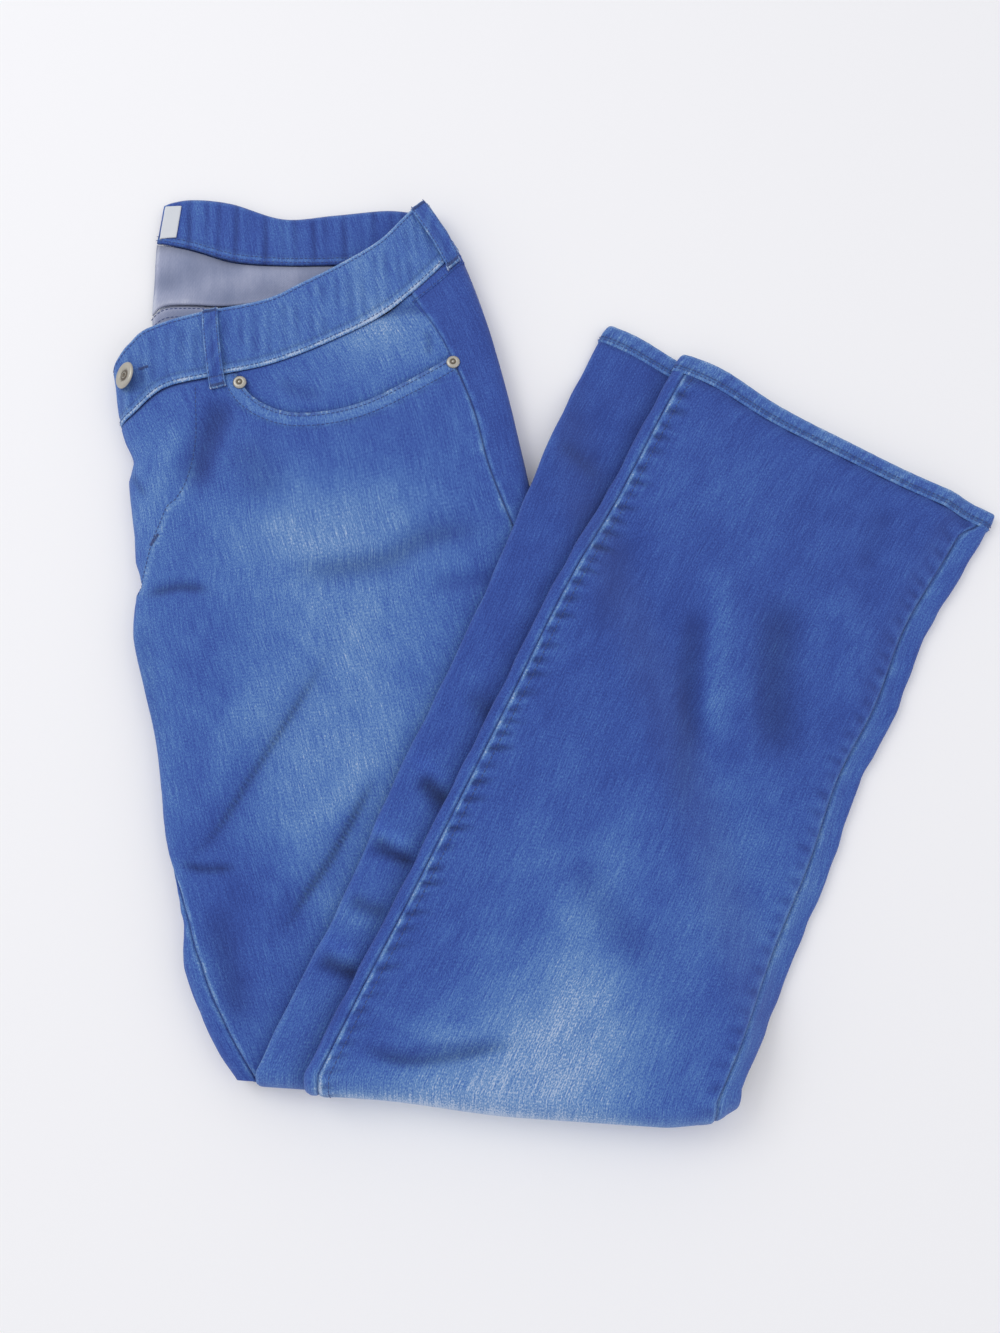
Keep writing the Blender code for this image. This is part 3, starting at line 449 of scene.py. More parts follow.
def legHeights(leg, s, p, xy):  # bottom and top face heights at plan points
    past = (xy[..., 0] - thighEdgeX(xy[..., 1])) * legFall["slant"]
    ground = ((garment["thighTop"] + garment["layerGap"])
              * (1 - smoothStep(legFall["from"], legFall["to"], past)))
    if leg == "under":
        relief = foldRelief(underLegFolds, xy[..., 0], xy[..., 1])
        relief = np.where(relief > 0, relief * (1 - smoothStep(-6, 2, p)), relief)
        return ground, ground + garment["legThickness"] + relief
    beyond = p - legEdges("under", s)[1]
    step = garment["legThickness"] + garment["layerGap"]
    bottom = ground + step * (1 - smoothStep(legFall["stepFrom"], legFall["stepTo"], beyond))
    relief = (foldRelief(topLegFolds, xy[..., 0], xy[..., 1])
              + 0.45 * wobbleField(xy[..., 0], xy[..., 1], 52, 5.0))
    return bottom, bottom + garment["legThickness"] + relief


def endShift(leg, s, p):  # the hem swells out near its left end, and the knee fold along its middle
    hem = outlineSwell[leg]
    width = legFrame(min(s, lastLegRow))[2]
    nearStart = np.exp(-((p - hem["hemAt"]) / hem["hemWide"]) ** 2)
    nearEnd = np.exp(-((p - width) / outlineSwell["hemEndWide"]) ** 2)
    swell = hem["hem"] * nearStart + hem["hemEnd"] * nearEnd
    swell = -swell * (1 - smoothStep(0.0, 1.3, s))
    knee = hem["knee"] * smoothStep(0.15, 0.5, p / width) * (1 - smoothStep(0.82, 0.97, p / width))
    corner = -hem["corner"] * smoothStep(width - outlineSwell["cornerWide"], width, p) ** 2
    return swell + (knee + corner) * smoothStep(lastLegRow - 1.3, lastLegRow, s)


# Level is 0 on the lower face and 1 on the upper, and the fold lies past the last row.
def legSurface(leg, s, p, level):
    p, level = np.broadcast_arrays(np.asarray(p, float), np.asarray(level, float))
    left, across, _ = legFrame(min(s, lastLegRow))
    xy = left + across * p[..., None]
    low, high = legHeights(leg, min(s, lastLegRow), p, xy)
    out = np.array([across[1], -across[0]])
    xy = xy + out * endShift(leg, s, p)[..., None]
    if s > lastLegRow:
        fold = kneeFold[leg]
        turn = math.radians(mix(90.0, fold["to"], (s - lastLegRow) / kneeFold["turns"]))
        radius = fold["roll"] - garment["legThickness"] * (1 - level) * kneeFold["pressed"]
        xy = xy + out * (radius * math.cos(turn))[..., None]
        inner = garment["legThickness"] * kneeFold["pressed"]
        outerZ = mix(fold["floor"], high, (1 + math.sin(turn)) / 2)
        innerZ = mix(fold["floor"] + inner, high - inner, (1 + math.sin(turn)) / 2)
        z = mix(innerZ, outerZ, level)
    else:
        z = mix(low, high, level)
    return np.concatenate([xy, z[..., None]], axis=-1)


def edgeRound(leg, s, side, count):  # across and level values, up round the left edge or down round the right
    left, right = legEdges(leg, s)
    angle = np.radians(np.linspace(-90, 90, count))
    out, level = garment["legRoll"] * (1 - np.cos(angle)), (1 + np.sin(angle)) / 2
    return (left + out, level) if side == "left" else ((right - out)[::-1], level[::-1])


# Making pieces

def linear(code):  # sRGB hex to linear colour
    parts = [int(code[k:k + 2], 16) / 255 for k in (1, 3, 5)]
    return (tuple(part / 12.92 if part <= 0.04045 else ((part + 0.055) / 1.055) ** 2.4 for part in parts)
            + (1.0,))


def placed(points):
    points = np.array(points, float)
    points[..., :2] -= planCentre
    return points * mm


def normalsOf(grid):
    along, across = np.gradient(grid, axis=0), np.gradient(grid, axis=1)
    normal = np.cross(along, across)
    return normal / np.maximum(np.linalg.norm(normal, axis=2), 1e-9)[..., None]


def raised(grid, height):
    return grid + normalsOf(grid) * height[..., None]


def cutOf(grid):  # the flat size that a grid of cloth was cut to, in metres, and its area
    across = np.linalg.norm(np.diff(grid, axis=1), axis=2).sum(1).max()
    along = np.linalg.norm(np.diff(grid, axis=0), axis=2).sum(0).max()
    first, second = grid[1:, 1:] - grid[:-1, :-1], grid[1:, :-1] - grid[:-1, 1:]
    area = 0.5 * np.linalg.norm(np.cross(first, second), axis=2).sum()
    return (across * mm, along * mm), min(area * mm * mm, across * along * mm * mm)


pieces = {}


def addPiece(name, mesh, materials, nodes, slotName):
    piece = bpy.data.objects.new(name, mesh)
    pieces[name] = piece
    for material in materials:
        mesh.materials.append(material)
    bpy.context.scene.collection.objects.link(piece)
    return {"piece": piece, "nodes": nodes, "slot": slotName}


def meshFrom(name, grid, maps, uv, ring=False, keep=None):
    rows, columns = grid.shape[:2]
    index = np.arange(rows * columns).reshape(rows, columns)
    if ring:
        index = np.concatenate([index, index[:, :1]], axis=1)
    quads = np.stack([index[:-1, :-1], index[1:, :-1], index[1:, 1:], index[:-1, 1:]], axis=-1)
    quads = quads.reshape(-1, 4)
    if keep is not None:
        quads = quads[keep.reshape(-1)]
    mesh = bpy.data.meshes.new(name)
    mesh.from_pydata(placed(grid).reshape(-1, 3).tolist(), [], quads.tolist())
    for key, values in maps.items():
        layer = mesh.attributes.new(key, "FLOAT", "POINT")
        layer.data.foreach_set("value", np.broadcast_to(values, (rows, columns)).astype(np.float32).ravel())
    layer = mesh.uv_layers.new(name="cloth")
    corners = np.zeros(len(mesh.loops), int)
    mesh.loops.foreach_get("vertex_index", corners)
    layer.data.foreach_set("uv", (uv.reshape(-1, 2)[corners] * mm).astype(np.float32).ravel())
    if keep is not None:
        work = bmesh.new()
        work.from_mesh(mesh)
        bmesh.ops.delete(work, geom=[vert for vert in work.verts if not vert.link_faces], context="VERTS")
        work.to_mesh(mesh)
        work.free()
    mesh.polygons.foreach_set("use_smooth", [True] * len(mesh.polygons))
    return mesh


def settle(item):  # converts modifiers, then rides and replaces
    piece = item["piece"]
    if piece.modifiers:
        graph = bpy.context.evaluated_depsgraph_get()
        mesh = bpy.data.meshes.new_from_object(piece.evaluated_get(graph))
        piece.modifiers.clear()
        piece.data = mesh
    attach(piece, "root")
    if item["nodes"]:
        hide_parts(*item["nodes"])
    return piece


def clothPiece(name, grid, maps, uv, nodes, look, thickness=None, ring=False, keep=None, slotName="denim"):
    flat = cutOf(grid)
    mesh = meshFrom(name, grid, maps, uv, ring, keep)
    item = addPiece(name, mesh, look, nodes, slotName)
    thicken = item["piece"].modifiers.new("cloth", "SOLIDIFY")
    thicken.thickness = (thickness or garment["cloth"]) * mm
    thicken.offset = -1.0
    thicken.use_even_offset = False
    thicken.material_offset = len(look) - 1
    if keep is not None:
        flat = (flat[0], flat[1] * float(keep.mean()))
    return settle(item)


def addNode(tree, kind, settings=None, inputs=None, at=(0, 0)):  # with its settings, and links or values
    node = tree.nodes.new(kind)
    node.location = at
    for key, value in (settings or {}).items():
        if isinstance(key, str) and hasattr(node, key):
            setattr(node, key, value)
        else:
            node.inputs[key].default_value = value
    for key, source in (inputs or {}).items():
        if isinstance(source, bpy.types.NodeSocket):
            tree.links.new(source, node.inputs[key])
        else:
            node.inputs[key].default_value = source
    return node


# Materials

waveBand = 0.314  # a wave texture at scale 1 has a band in this many units


def newShader(name):
    material = bpy.data.materials.new(name)
    material.use_nodes = True
    tree = material.node_tree
    return material, tree, tree.nodes["Principled BSDF"]


denimLook = {
    "dark": "#2a438f",      # unworn indigo
    "deep": "#3756a6",
    "mid": "#4a72b6",
    "light": "#6f95c6",
    "pale": "#b2c3de",      # worn through to the white weft
    "streakMm": 0.85,       # width of the warp streaks
    "streakLongMm": 17.0,
    "speckMm": 0.8,
    "streak": 0.60,
    "mottle": 0.16,
    "twillMm": 0.9,         # distance between the weave's diagonal lines
    "roughness": 0.88,
    "sheen": 0.12,
}


# Washed denim: streaks along the warp, worn patches and painted light on ridges pick from an indigo ramp, which
# painted shade darkens, with a twill bump.
def washedDenim(name, look):
    material, tree, shader = newShader(name)
    cloth = addNode(tree, "ShaderNodeUVMap", {"uv_map": "cloth"}, at=(-1500, 0)).outputs[0]
    made = {}
    for key, y in (("fadeAndLight", 320), ("wear", 160), ("shade", 0)):
        made[key] = addNode(tree, "ShaderNodeAttribute", {"attribute_name": key},
                            at=(-1100, y)).outputs["Fac"]
    speck = 1 / (look["speckMm"] * mm)
    streak = (1 / (look["streakMm"] * mm), 1 / (look["streakLongMm"] * mm), 0)
    for key, scale, detail, rough, y in (("streak", streak, 1.0, 0.4, -200),
                                         ("fleck", (speck, 0.6 * speck, 0), 1.5, 0.5, -400),
                                         ("mottle", (45, 30, 0), 4.0, 0.6, -600),
                                         ("nap", (900, 900, 0), 2.0, 0.5, -800)):
        scaled = addNode(tree, "ShaderNodeVectorMath", {"operation": "MULTIPLY", 1: scale}, {0: cloth},
                         (-1300, y))
        noise = addNode(tree, "ShaderNodeTexNoise",
                        {"noise_dimensions": "2D", "Scale": 1.0, "Detail": detail, "Roughness": rough},
                        {"Vector": scaled.outputs[0]}, (-1100, y))
        made[key] = noise.outputs[0]
    turned = addNode(tree, "ShaderNodeVectorRotate", {"rotation_type": "Z_AXIS", "Angle": math.radians(32)},
                     {"Vector": cloth}, (-1300, -1000))
    twill = addNode(tree, "ShaderNodeTexWave",
                    {"wave_type": "BANDS", "bands_direction": "X", "Scale": waveBand / (look["twillMm"] * mm),
                     "Distortion": 0.6, "Detail": 1.0},
                    {"Vector": turned.outputs[0]}, (-1100, -1000))
    made["twill"] = twill.outputs["Fac"]
    sums = (
        ("streakPart", "MULTIPLY", "streak", 0.36), ("fleckPart", "MULTIPLY", "fleck", 0.64),
        ("lines", "ADD", "streakPart", "fleckPart"), ("paler", "MULTIPLY", "fadeAndLight", 0.55),
        ("strength", "ADD", "paler", 0.66), ("aboutMean", "SUBTRACT", "lines", 0.5),
        ("spread", "MULTIPLY", "aboutMean", look["streak"] * 2.2), ("grain", "MULTIPLY", "spread", "strength"),
        ("mottleOff", "SUBTRACT", "mottle", 0.5), ("cloud", "MULTIPLY", "mottleOff", look["mottle"] * 2),
        ("napPart", "MULTIPLY", "nap", 1.1), ("napShare", "ADD", "napPart", 0.35),
        ("broken", "MULTIPLY", "wear", "napShare"), ("grained", "ADD", "fadeAndLight", "grain"),
        ("clouded", "ADD", "grained", "cloud"), ("total", "ADD", "clouded", "broken"),
        ("darker", "MULTIPLY", "shade", 0.75), ("dim", "SUBTRACT", 1.0, "darker"),
        ("twillPart", "MULTIPLY", "twill", 0.14), ("weave", "ADD", "twillPart", 0.93),
        ("factor", "MULTIPLY", "dim", "weave"), ("twillHigh", "MULTIPLY", "twill", 0.5),
        ("relief", "ADD", "twillHigh", "lines"))
    for k, (key, operation, a, b) in enumerate(sums):
        step = addNode(tree, "ShaderNodeMath", {"operation": operation, "use_clamp": key == "total"},
                       {0: made.get(a, a), 1: made.get(b, b)}, (-900 + 160 * (k % 3), 300 - 160 * (k // 3)))
        made[key] = step.outputs[0]
    ramp = addNode(tree, "ShaderNodeValToRGB", inputs={"Fac": made["total"]}, at=(-300, 100))
    stops = ((0.0, "dark"), (0.22, "deep"), (0.46, "mid"), (0.74, "light"), (1.0, "pale"))
    while len(ramp.color_ramp.elements) < len(stops):
        ramp.color_ramp.elements.new(0.5)
    for element, (place, key) in zip(ramp.color_ramp.elements, stops):
        element.position, element.color = place, linear(look[key])
    tint = addNode(tree, "ShaderNodeVectorMath", {"operation": "SCALE"},
                   {0: ramp.outputs["Color"], "Scale": made["factor"]}, (-50, 100))
    tree.links.new(tint.outputs[0], shader.inputs["Base Color"])
    shader.inputs["Roughness"].default_value = look["roughness"]
    shader.inputs["Specular IOR Level"].default_value = 0.25
    shader.inputs["Sheen Weight"].default_value = look["sheen"]
    shader.inputs["Sheen Roughness"].default_value = 0.6
    bump = addNode(tree, "ShaderNodeBump", {"Strength": 0.55, "Distance": 0.00022},
                   {"Height": made["relief"]}, (-250, -600))
    tree.links.new(bump.outputs[0], shader.inputs["Normal"])
    return material


denim = washedDenim("washedDenim", denimLook)
wrongSide = washedDenim("denimWrongSide",
                        {**denimLook, "dark": "#626c8c", "deep": "#7c86a4", "mid": "#8e96b2",
                         "light": "#a5abc4", "pale": "#c2c7d8", "streak": 0.14, "mottle": 0.30, "sheen": 0.05})

threadLook = {"colour": "#4b5f98", "edge": "#2f4076", "roughness": 0.7}


def threadMaterial(name, look):  # spun polyester thread: dull indigo, with a fine twist whose darker bands are painted shade in its grooves
    material, tree, shader = newShader(name)
    place = addNode(tree, "ShaderNodeTexCoord", at=(-900, 0)).outputs["Object"]
    wave = addNode(tree, "ShaderNodeTexWave",
                   {"wave_type": "BANDS", "bands_direction": "DIAGONAL", "Scale": 900.0},
                   {"Vector": place}, (-700, 0))
    ramp = addNode(tree, "ShaderNodeValToRGB", inputs={"Fac": wave.outputs["Fac"]}, at=(-400, 0))
    # The darker colour is painted shade in the twist's grooves.
    ramp.color_ramp.elements[0].color = linear(look["edge"])
    ramp.color_ramp.elements[1].color = linear(look["colour"])
    tree.links.new(ramp.outputs["Color"], shader.inputs["Base Color"])
    shader.inputs["Roughness"].default_value = look["roughness"]
    return material


thread = threadMaterial("indigoThread", threadLook)

metalLook = {"bright": "#b8b4a9", "stainAndShade": "#6a6257", "roughness": 0.42}


def wornMetal(name, look):  # worn antique nickel: darker stain in its hollows, from pointiness and noise, and a per-point darkening that is partly stain in hollows and partly painted shade on the undersides
    material, tree, shader = newShader(name)
    place = addNode(tree, "ShaderNodeTexCoord", at=(-900, 0)).outputs["Object"]
    noise = addNode(tree, "ShaderNodeTexNoise", {"Scale": 900.0, "Detail": 4.0}, {"Vector": place},
                    (-700, 0))
    hollow = addNode(tree, "ShaderNodeNewGeometry", at=(-900, -260)).outputs["Pointiness"]
    sunk = addNode(tree, "ShaderNodeMapRange", {1: 0.44, 2: 0.54}, {0: hollow}, (-700, -260))
    stainAndShade = addNode(tree, "ShaderNodeAttribute", {"attribute_name": "stainAndShade"}, at=(-900, 260)).outputs["Fac"]
    made = {"sunk": sunk.outputs[0], "noise": noise.outputs[0], "stainAndShade": stainAndShade}
    sums = (("sunkPart", "MULTIPLY", "sunk", 0.4), ("noisePart", "MULTIPLY", "noise", 0.6),
            ("both", "ADD", "sunkPart", "noisePart"), ("lifted", "ADD", "both", 0.35),
            ("clean", "SUBTRACT", "lifted", "stainAndShade"))
    for k, (key, operation, a, b) in enumerate(sums):
        step = addNode(tree, "ShaderNodeMath", {"operation": operation, "use_clamp": key == "clean"},
                       {0: made.get(a, a), 1: made.get(b, b)}, (-600 + 60 * k, 100 - 60 * k))
        made[key] = step.outputs[0]
    ramp = addNode(tree, "ShaderNodeValToRGB", inputs={"Fac": made["clean"]}, at=(-300, 0))
    for element, place, key in zip(ramp.color_ramp.elements, (0.3, 0.75), ("stainAndShade", "bright")):
        element.position, element.color = place, linear(look[key])
    tree.links.new(ramp.outputs["Color"], shader.inputs["Base Color"])
    shader.inputs["Metallic"].default_value = 0.85
    shader.inputs["Roughness"].default_value = look["roughness"]
    bump = addNode(tree, "ShaderNodeBump", {"Strength": 0.4, "Distance": 0.00012},
                   {"Height": noise.outputs[0]}, (-300, -300))
    tree.links.new(bump.outputs[0], shader.inputs["Normal"])
    return material


metal = wornMetal("antiqueNickel", metalLook)

labelLook = {"colour": "#e4e7ea", "shadow": "#c9cfd6", "ribMm": 0.7}


def wovenTape(name, look):  # woven tape: off-white with fine ribs across it
    material, tree, shader = newShader(name)
    place = addNode(tree, "ShaderNodeTexCoord", at=(-900, 0)).outputs["Object"]
    rib = addNode(tree, "ShaderNodeTexWave",
                  {"wave_type": "BANDS", "bands_direction": "Y", "Scale": waveBand / (look["ribMm"] * mm),
                   "Distortion": 0.4}, {"Vector": place}, (-700, 0))
    ramp = addNode(tree, "ShaderNodeValToRGB", inputs={"Fac": rib.outputs["Fac"]}, at=(-400, 0))
    ramp.color_ramp.elements[0].color = linear(look["shadow"])
    ramp.color_ramp.elements[1].color = linear(look["colour"])
    tree.links.new(ramp.outputs["Color"], shader.inputs["Base Color"])
    shader.inputs["Roughness"].default_value = 0.75
    bump = addNode(tree, "ShaderNodeBump", {"Strength": 0.5, "Distance": 0.0001},
                   {"Height": rib.outputs["Fac"]}, (-300, -300))
    tree.links.new(bump.outputs[0], shader.inputs["Normal"])
    return material


labelTape = wovenTape("wovenTape", labelLook)
print("materials made")


# Thigh pieces

fineEdge = (0.0, 0.5, 1.1, 1.9, 2.9, 4.2)  # columns close together beside a seam


def seamColumns(start, end, edge, count):  # fine at both ends, even between
    middle = np.linspace(start + edge[-1], end - edge[-1], count)[1:-1]
    return np.concatenate([start + edge, middle, end - edge[::-1]])


def rowRun(first, last, stepMm, lengths):  # row values about this many mm apart
    rows, s = [first], first
    while s < last:
        s += stepMm / np.interp(s, np.arange(len(lengths)) + 0.5, lengths)
        rows.append(min(s, last))
    if rows[-1] - rows[-2] < 1e-6:
        rows.pop(-2)
    return np.array(rows)


middles = np.array([row[len(shares) // 2] for row in rowPoints])
thighStep = np.linalg.norm(np.diff(middles, axis=0), axis=1)
legMiddles = (legLeft + legRight) / 2
foldStep = 40.0  # length of a row's step round the knee fold
legStep = np.append(np.linalg.norm(np.diff(legMiddles, axis=0), axis=1), [foldStep, foldStep])


def seamRidge(distance, height=0.45, width=6.5):  # the rise beside a seam, with a groove at the seam itself
    return (height * smoothStep(0.2, 1.8, distance) * (1 - smoothStep(width, width + 3.0, distance))
            - 0.5 * np.exp(-(distance / 0.5) ** 2) - 0.9 * smoothStep(0.0, -0.7, distance))


def puckers(along, distance, pitch, depth, reachMm, seed):  # short gathers square to a seam
    phase = along + 2.6 * wobble(along, pitch * 5.3, seed)
    size = 0.70 + 0.30 * wobble(along, pitch * 2.7, seed + 4)
    reach = reachMm * (1.0 + 0.35 * wobble(along, pitch * 1.7, seed + 2))
    body = smoothStep(0.8, 3.0, distance) * (1 - smoothStep(0.5, 1.7, distance / reach))
    return depth * size * body * np.cos(2 * np.pi * (phase + 0.25 * distance) / pitch)


def seamWear(along, distance, seed, width=1.3):  # pale worn line beside a seam, uneven along it
    strength = 0.62 + 0.38 * wobble(along, 17.0, seed)
    return strength * np.exp(-((distance - 1.3) / width) ** 2)


def centreUv(grid):  # across and along distances from the middle of the first row
    steps = np.linalg.norm(np.diff(grid, axis=1), axis=2)
    across = np.concatenate([np.zeros((len(grid), 1)), np.cumsum(steps, axis=1)], axis=1)
    across -= across[:, -1:] / 2
    middle = grid[:, grid.shape[1] // 2]
    along = np.concatenate([[0.0], np.cumsum(np.linalg.norm(np.diff(middle, axis=0), axis=1))])
    return np.stack([across, np.broadcast_to(along[:, None], across.shape)], axis=-1)


# One more first row, which runs on under the next piece.
def tucked(grid, uv, maps, keep=None, reachMm=1.3, sink=0.7):
    away = grid[0] - grid[2]
    away = away / np.linalg.norm(away, axis=1)[:, None] * reachMm
    grid = np.concatenate([(grid[0] + away - np.array([0, 0, sink]))[None], grid])
    uv = np.concatenate([uv[:1] - np.array([0, reachMm]), uv])
    maps = {key: np.concatenate([value[:1], value]) for key, value in maps.items()}
    return grid, uv, maps, None if keep is None else np.concatenate([keep[:1], keep])


def thighMaps(grid, base):  # fading, and painted light and shade, of the thigh's upper side
    x, y = grid[..., 0], grid[..., 1]
    relief = foldRelief(thighFolds, x, y)
    # Fold ridges are painted lighter and troughs darker: painted light and shade.
    fadeAndLight = base + patches(thighFades, x, y) + 0.10 * np.clip(relief, -1, 1)
    # Painted shade in the fold troughs and along the crease lines.
    shade = 0.20 * np.clip(-relief / 2.4, 0, 1) + lineShade(thighLines, x, y)
    # Painted shadow of the lower leg on the thigh beside its left edge.
    beside = secondLegLeftX(y) - x
    shade = shade + 0.22 * np.where(y < garment["bareFromY"], np.exp(-np.maximum(beside, 0) / 7.0), 0.0)
    return fadeAndLight, shade


frontThigh = {"baseFade": 0.25, "stepMm": 2.3, "rowMm": 2.6}


def buildFrontThigh():
    rows = rowRun(1.004, lastThighRow - 0.02, frontThigh["rowMm"], thighStep)
    count = None
    lines, fromStart, fromEnd = [], [], []
    for s in rows:
        start = inseamAt(s) + (0.5 if s >= inseamStart else 0.0)
        end = sideSeamReach(s) - 0.3
        if count is None:
            count = int(round((end - start) / frontThigh["stepMm"]))
        reach = seamColumns(start, end, np.array(fineEdge), count)
        lines.append(thighAround(s, reach))
        fromStart.append(reach - start)
        fromEnd.append(end - reach)
    grid, fromStart, fromEnd = np.array(lines), np.array(fromStart), np.array(fromEnd)
    uv = centreUv(grid)
    along = uv[..., 1]
    seamed = (rows >= inseamStart)[:, None] * np.ones_like(fromStart)
    down = along - along[0]
    lift = seamRidge(fromEnd, 0.4, 5.5) + seamed * seamRidge(fromStart, 0.35, 5.0)
    lift += seamRidge(down, 0.1, 3.0)
    lift += puckers(along, fromEnd, 11.0, 0.28, 7.0, 1.0) * smoothStep(60, 120, along)
    x, y = grid[..., 0], grid[..., 1]
    mouth = smoothLine(pocketMouth, 90)
    toMouth, _ = alongPath(mouth, x, y)
    toFly, flyRun = alongPath(flyPath, x, y)
    inFront = np.clip(fromStart / 12.0, 0, 1)
    lift += (-0.35 * np.exp(-((toFly - 0.4) / 1.1) ** 2) * inFront
             + 0.25 * np.exp(-((toFly - 3.0) / 2.0) ** 2) * inFront)
    lift += (0.30 * (1 - smoothStep(9.0, 12.0, toMouth)) * smoothStep(0.0, 1.2, toMouth)
             - 0.5 * np.exp(-(toMouth / 0.6) ** 2))
    lift += -0.22 * np.exp(-((toMouth - 10.5) / 0.9) ** 2)
    grid = raised(grid, lift)
    fadeAndLight, shade = thighMaps(grid, frontThigh["baseFade"])
    wear = 0.45 * seamWear(along, fromEnd, 2.0) + seamed * 0.55 * seamWear(along, fromStart, 3.0)
    wear += (0.30 * np.exp(-((toFly - 0.9) / 0.8) ** 2) * smoothStep(0.2, 0.5, flyRun)
             + 0.75 * np.exp(-((toMouth - 0.8) / 0.9) ** 2) * (0.75 + 0.25 * wobble(x, 9.0, 2.0)))
    wear += 0.16 * np.exp(-((toMouth - 5.6) / 3.4) ** 2) + 0.10 * np.exp(-((toMouth - 9.6) / 0.9) ** 2)
    # Pucker crests are painted lighter and hollows darker (painted light and shade), and the worn band between
    # the mouth's stitch rows is paler.
    fadeAndLight += (0.05 * puckers(along, fromEnd, 11.0, 1.0, 7.0, 1.0)
             + 0.10 * np.exp(-((toMouth - 5.6) / 4.0) ** 2))
    # Painted shade in the side seam's groove, in the groove beside the pocket's outer stitch row and under the
    # waistband seam.
    shade += (0.55 * np.exp(-(np.minimum(fromEnd, 99) / 0.55) ** 2)
              + 0.20 * np.exp(-((toMouth - 10.8) / 0.9) ** 2))
    shade += 0.20 * np.exp(-(down / 1.6) ** 2)
    outline = np.array([*mouth, *pocketBack])
    keep = ~insideOutline(outline, x, y)
    cells = keep[:-1, :-1] & keep[1:, :-1] & keep[1:, 1:] & keep[:-1, 1:]
    near = toMouth < 3.6
    snapped = snapToLine(grid, near & borderOf(cells), mouth)
    grid = np.where((near & borderOf(cells))[..., None], snapped, grid)
    shown, uv, maps, cells = tucked(grid, uv, {"fadeAndLight": fadeAndLight, "wear": wear, "shade": shade}, cells)
    clothPiece("frontThighLeft", shown, maps, uv, ["left_front_thigh"], [denim, wrongSide], keep=cells)


def insideOutline(outline, x, y):
    inside = np.zeros(x.shape, bool)
    for (x0, y0), (x1, y1) in zip(outline, np.roll(outline, -1, axis=0)):
        if y0 == y1:
            continue
        crosses = (y0 > y) != (y1 > y)
        inside ^= crosses & (x < (x1 - x0) * (y - y0) / (y1 - y0) + x0)
    return inside


def borderOf(cells):  # grid points that lie on the edge between kept and left-out cells
    padded = np.pad(cells, 1, mode="edge")
    around = np.stack([padded[:-1, :-1], padded[1:, :-1], padded[1:, 1:], padded[:-1, 1:]])
    return around.any(0) & ~around.all(0)


def snapToLine(grid, wanted, line):  # moves points in plan to the nearest point of a line
    flat = grid.copy()
    points = np.asarray(line)
    for i, j in zip(*np.nonzero(wanted)):
        gap = np.linalg.norm(points - grid[i, j, :2], axis=1)
        k = int(gap.argmin())
        a, b = points[max(k - 1, 0)], points[min(k + 1, len(points) - 1)]
        step = b - a
        t = np.clip(((grid[i, j, :2] - a) @ step) / (step @ step), 0, 1)
        flat[i, j, :2] = a + step * t
    return flat


buildFrontThigh()
print("front thigh built")


tuckEdge = {True: (-1.5, -0.7), False: ()}  # columns that run on under the front at a seam


def thighPanel(name, nodes, first, last, startAt, endAt, stepMm, rowMm, upper, seams, baseFade, lift=0.0):
    rows = rowRun(first, last, rowMm, thighStep)
    count, lines, fromStart, fromEnd = None, [], [], []
    for s in rows:
        start, end = startAt(s), endAt(s)
        if count is None:
            count = max(4, int(round((endAt(0.5 * (first + last)) - startAt(0.5 * (first + last)))
                                     / stepMm)))
        room = end - start
        edge = np.array(fineEdge) * min(1.0, room / 14.0)
        reach = np.concatenate([start + np.array(tuckEdge["start" in seams]),
                                seamColumns(start, end, edge, count),
                                end - np.array(tuckEdge["end" in seams])[::-1]])
        lines.append(thighAround(s, reach, upper))
        fromStart.append(reach - start)
        fromEnd.append(end - reach)
    grid, fromStart, fromEnd = np.array(lines), np.array(fromStart), np.array(fromEnd)
    if not upper:
        grid, fromStart, fromEnd = grid[:, ::-1], fromStart[:, ::-1], fromEnd[:, ::-1]
    uv = centreUv(grid)
    along = uv[..., 1]
    height = np.full(along.shape, lift)
    wear, puckerLight, shade0 = np.zeros(along.shape), 0.0, np.zeros(along.shape)
    for side, distance in (("start", fromStart), ("end", fromEnd)):
        if side in seams:
            height = height + seamRidge(distance, 0.35, 5.5) + puckers(along, distance, 11.0, 0.3, 6.0, 4.0)
            wear = wear + 0.45 * seamWear(along, distance, 3.0)
            # Painted shade in the seam's groove; pucker crests are painted lighter and hollows darker.
            shade0 = shade0 + 0.5 * np.exp(-(distance / 0.55) ** 2)
            puckerLight = puckerLight + 0.05 * puckers(along, distance, 11.0, 1.0, 6.0, 4.0)
    if upper:
        grid = raised(grid, height)
        fadeAndLight, shade = thighMaps(grid, baseFade)
    else:
        flatPart = np.clip((grid[..., 2] - 0.5) / 2.0, 0, 1)
        grid = raised(grid, height * flatPart)
        grid[..., 2] = np.maximum(grid[..., 2], 0.0)
        fadeAndLight = baseFade + 0.5 * patches(thighFades, grid[..., 0], grid[..., 1])
        shade = np.zeros(fadeAndLight.shape)
    maps = {"fadeAndLight": fadeAndLight + puckerLight, "wear": wear, "shade": shade + shade0}
    shown, uv, maps, _ = tucked(grid, uv, maps, sink=0.7 if upper else -0.5)
    clothPiece(name, shown, maps, uv, nodes, [denim, wrongSide])
    return grid


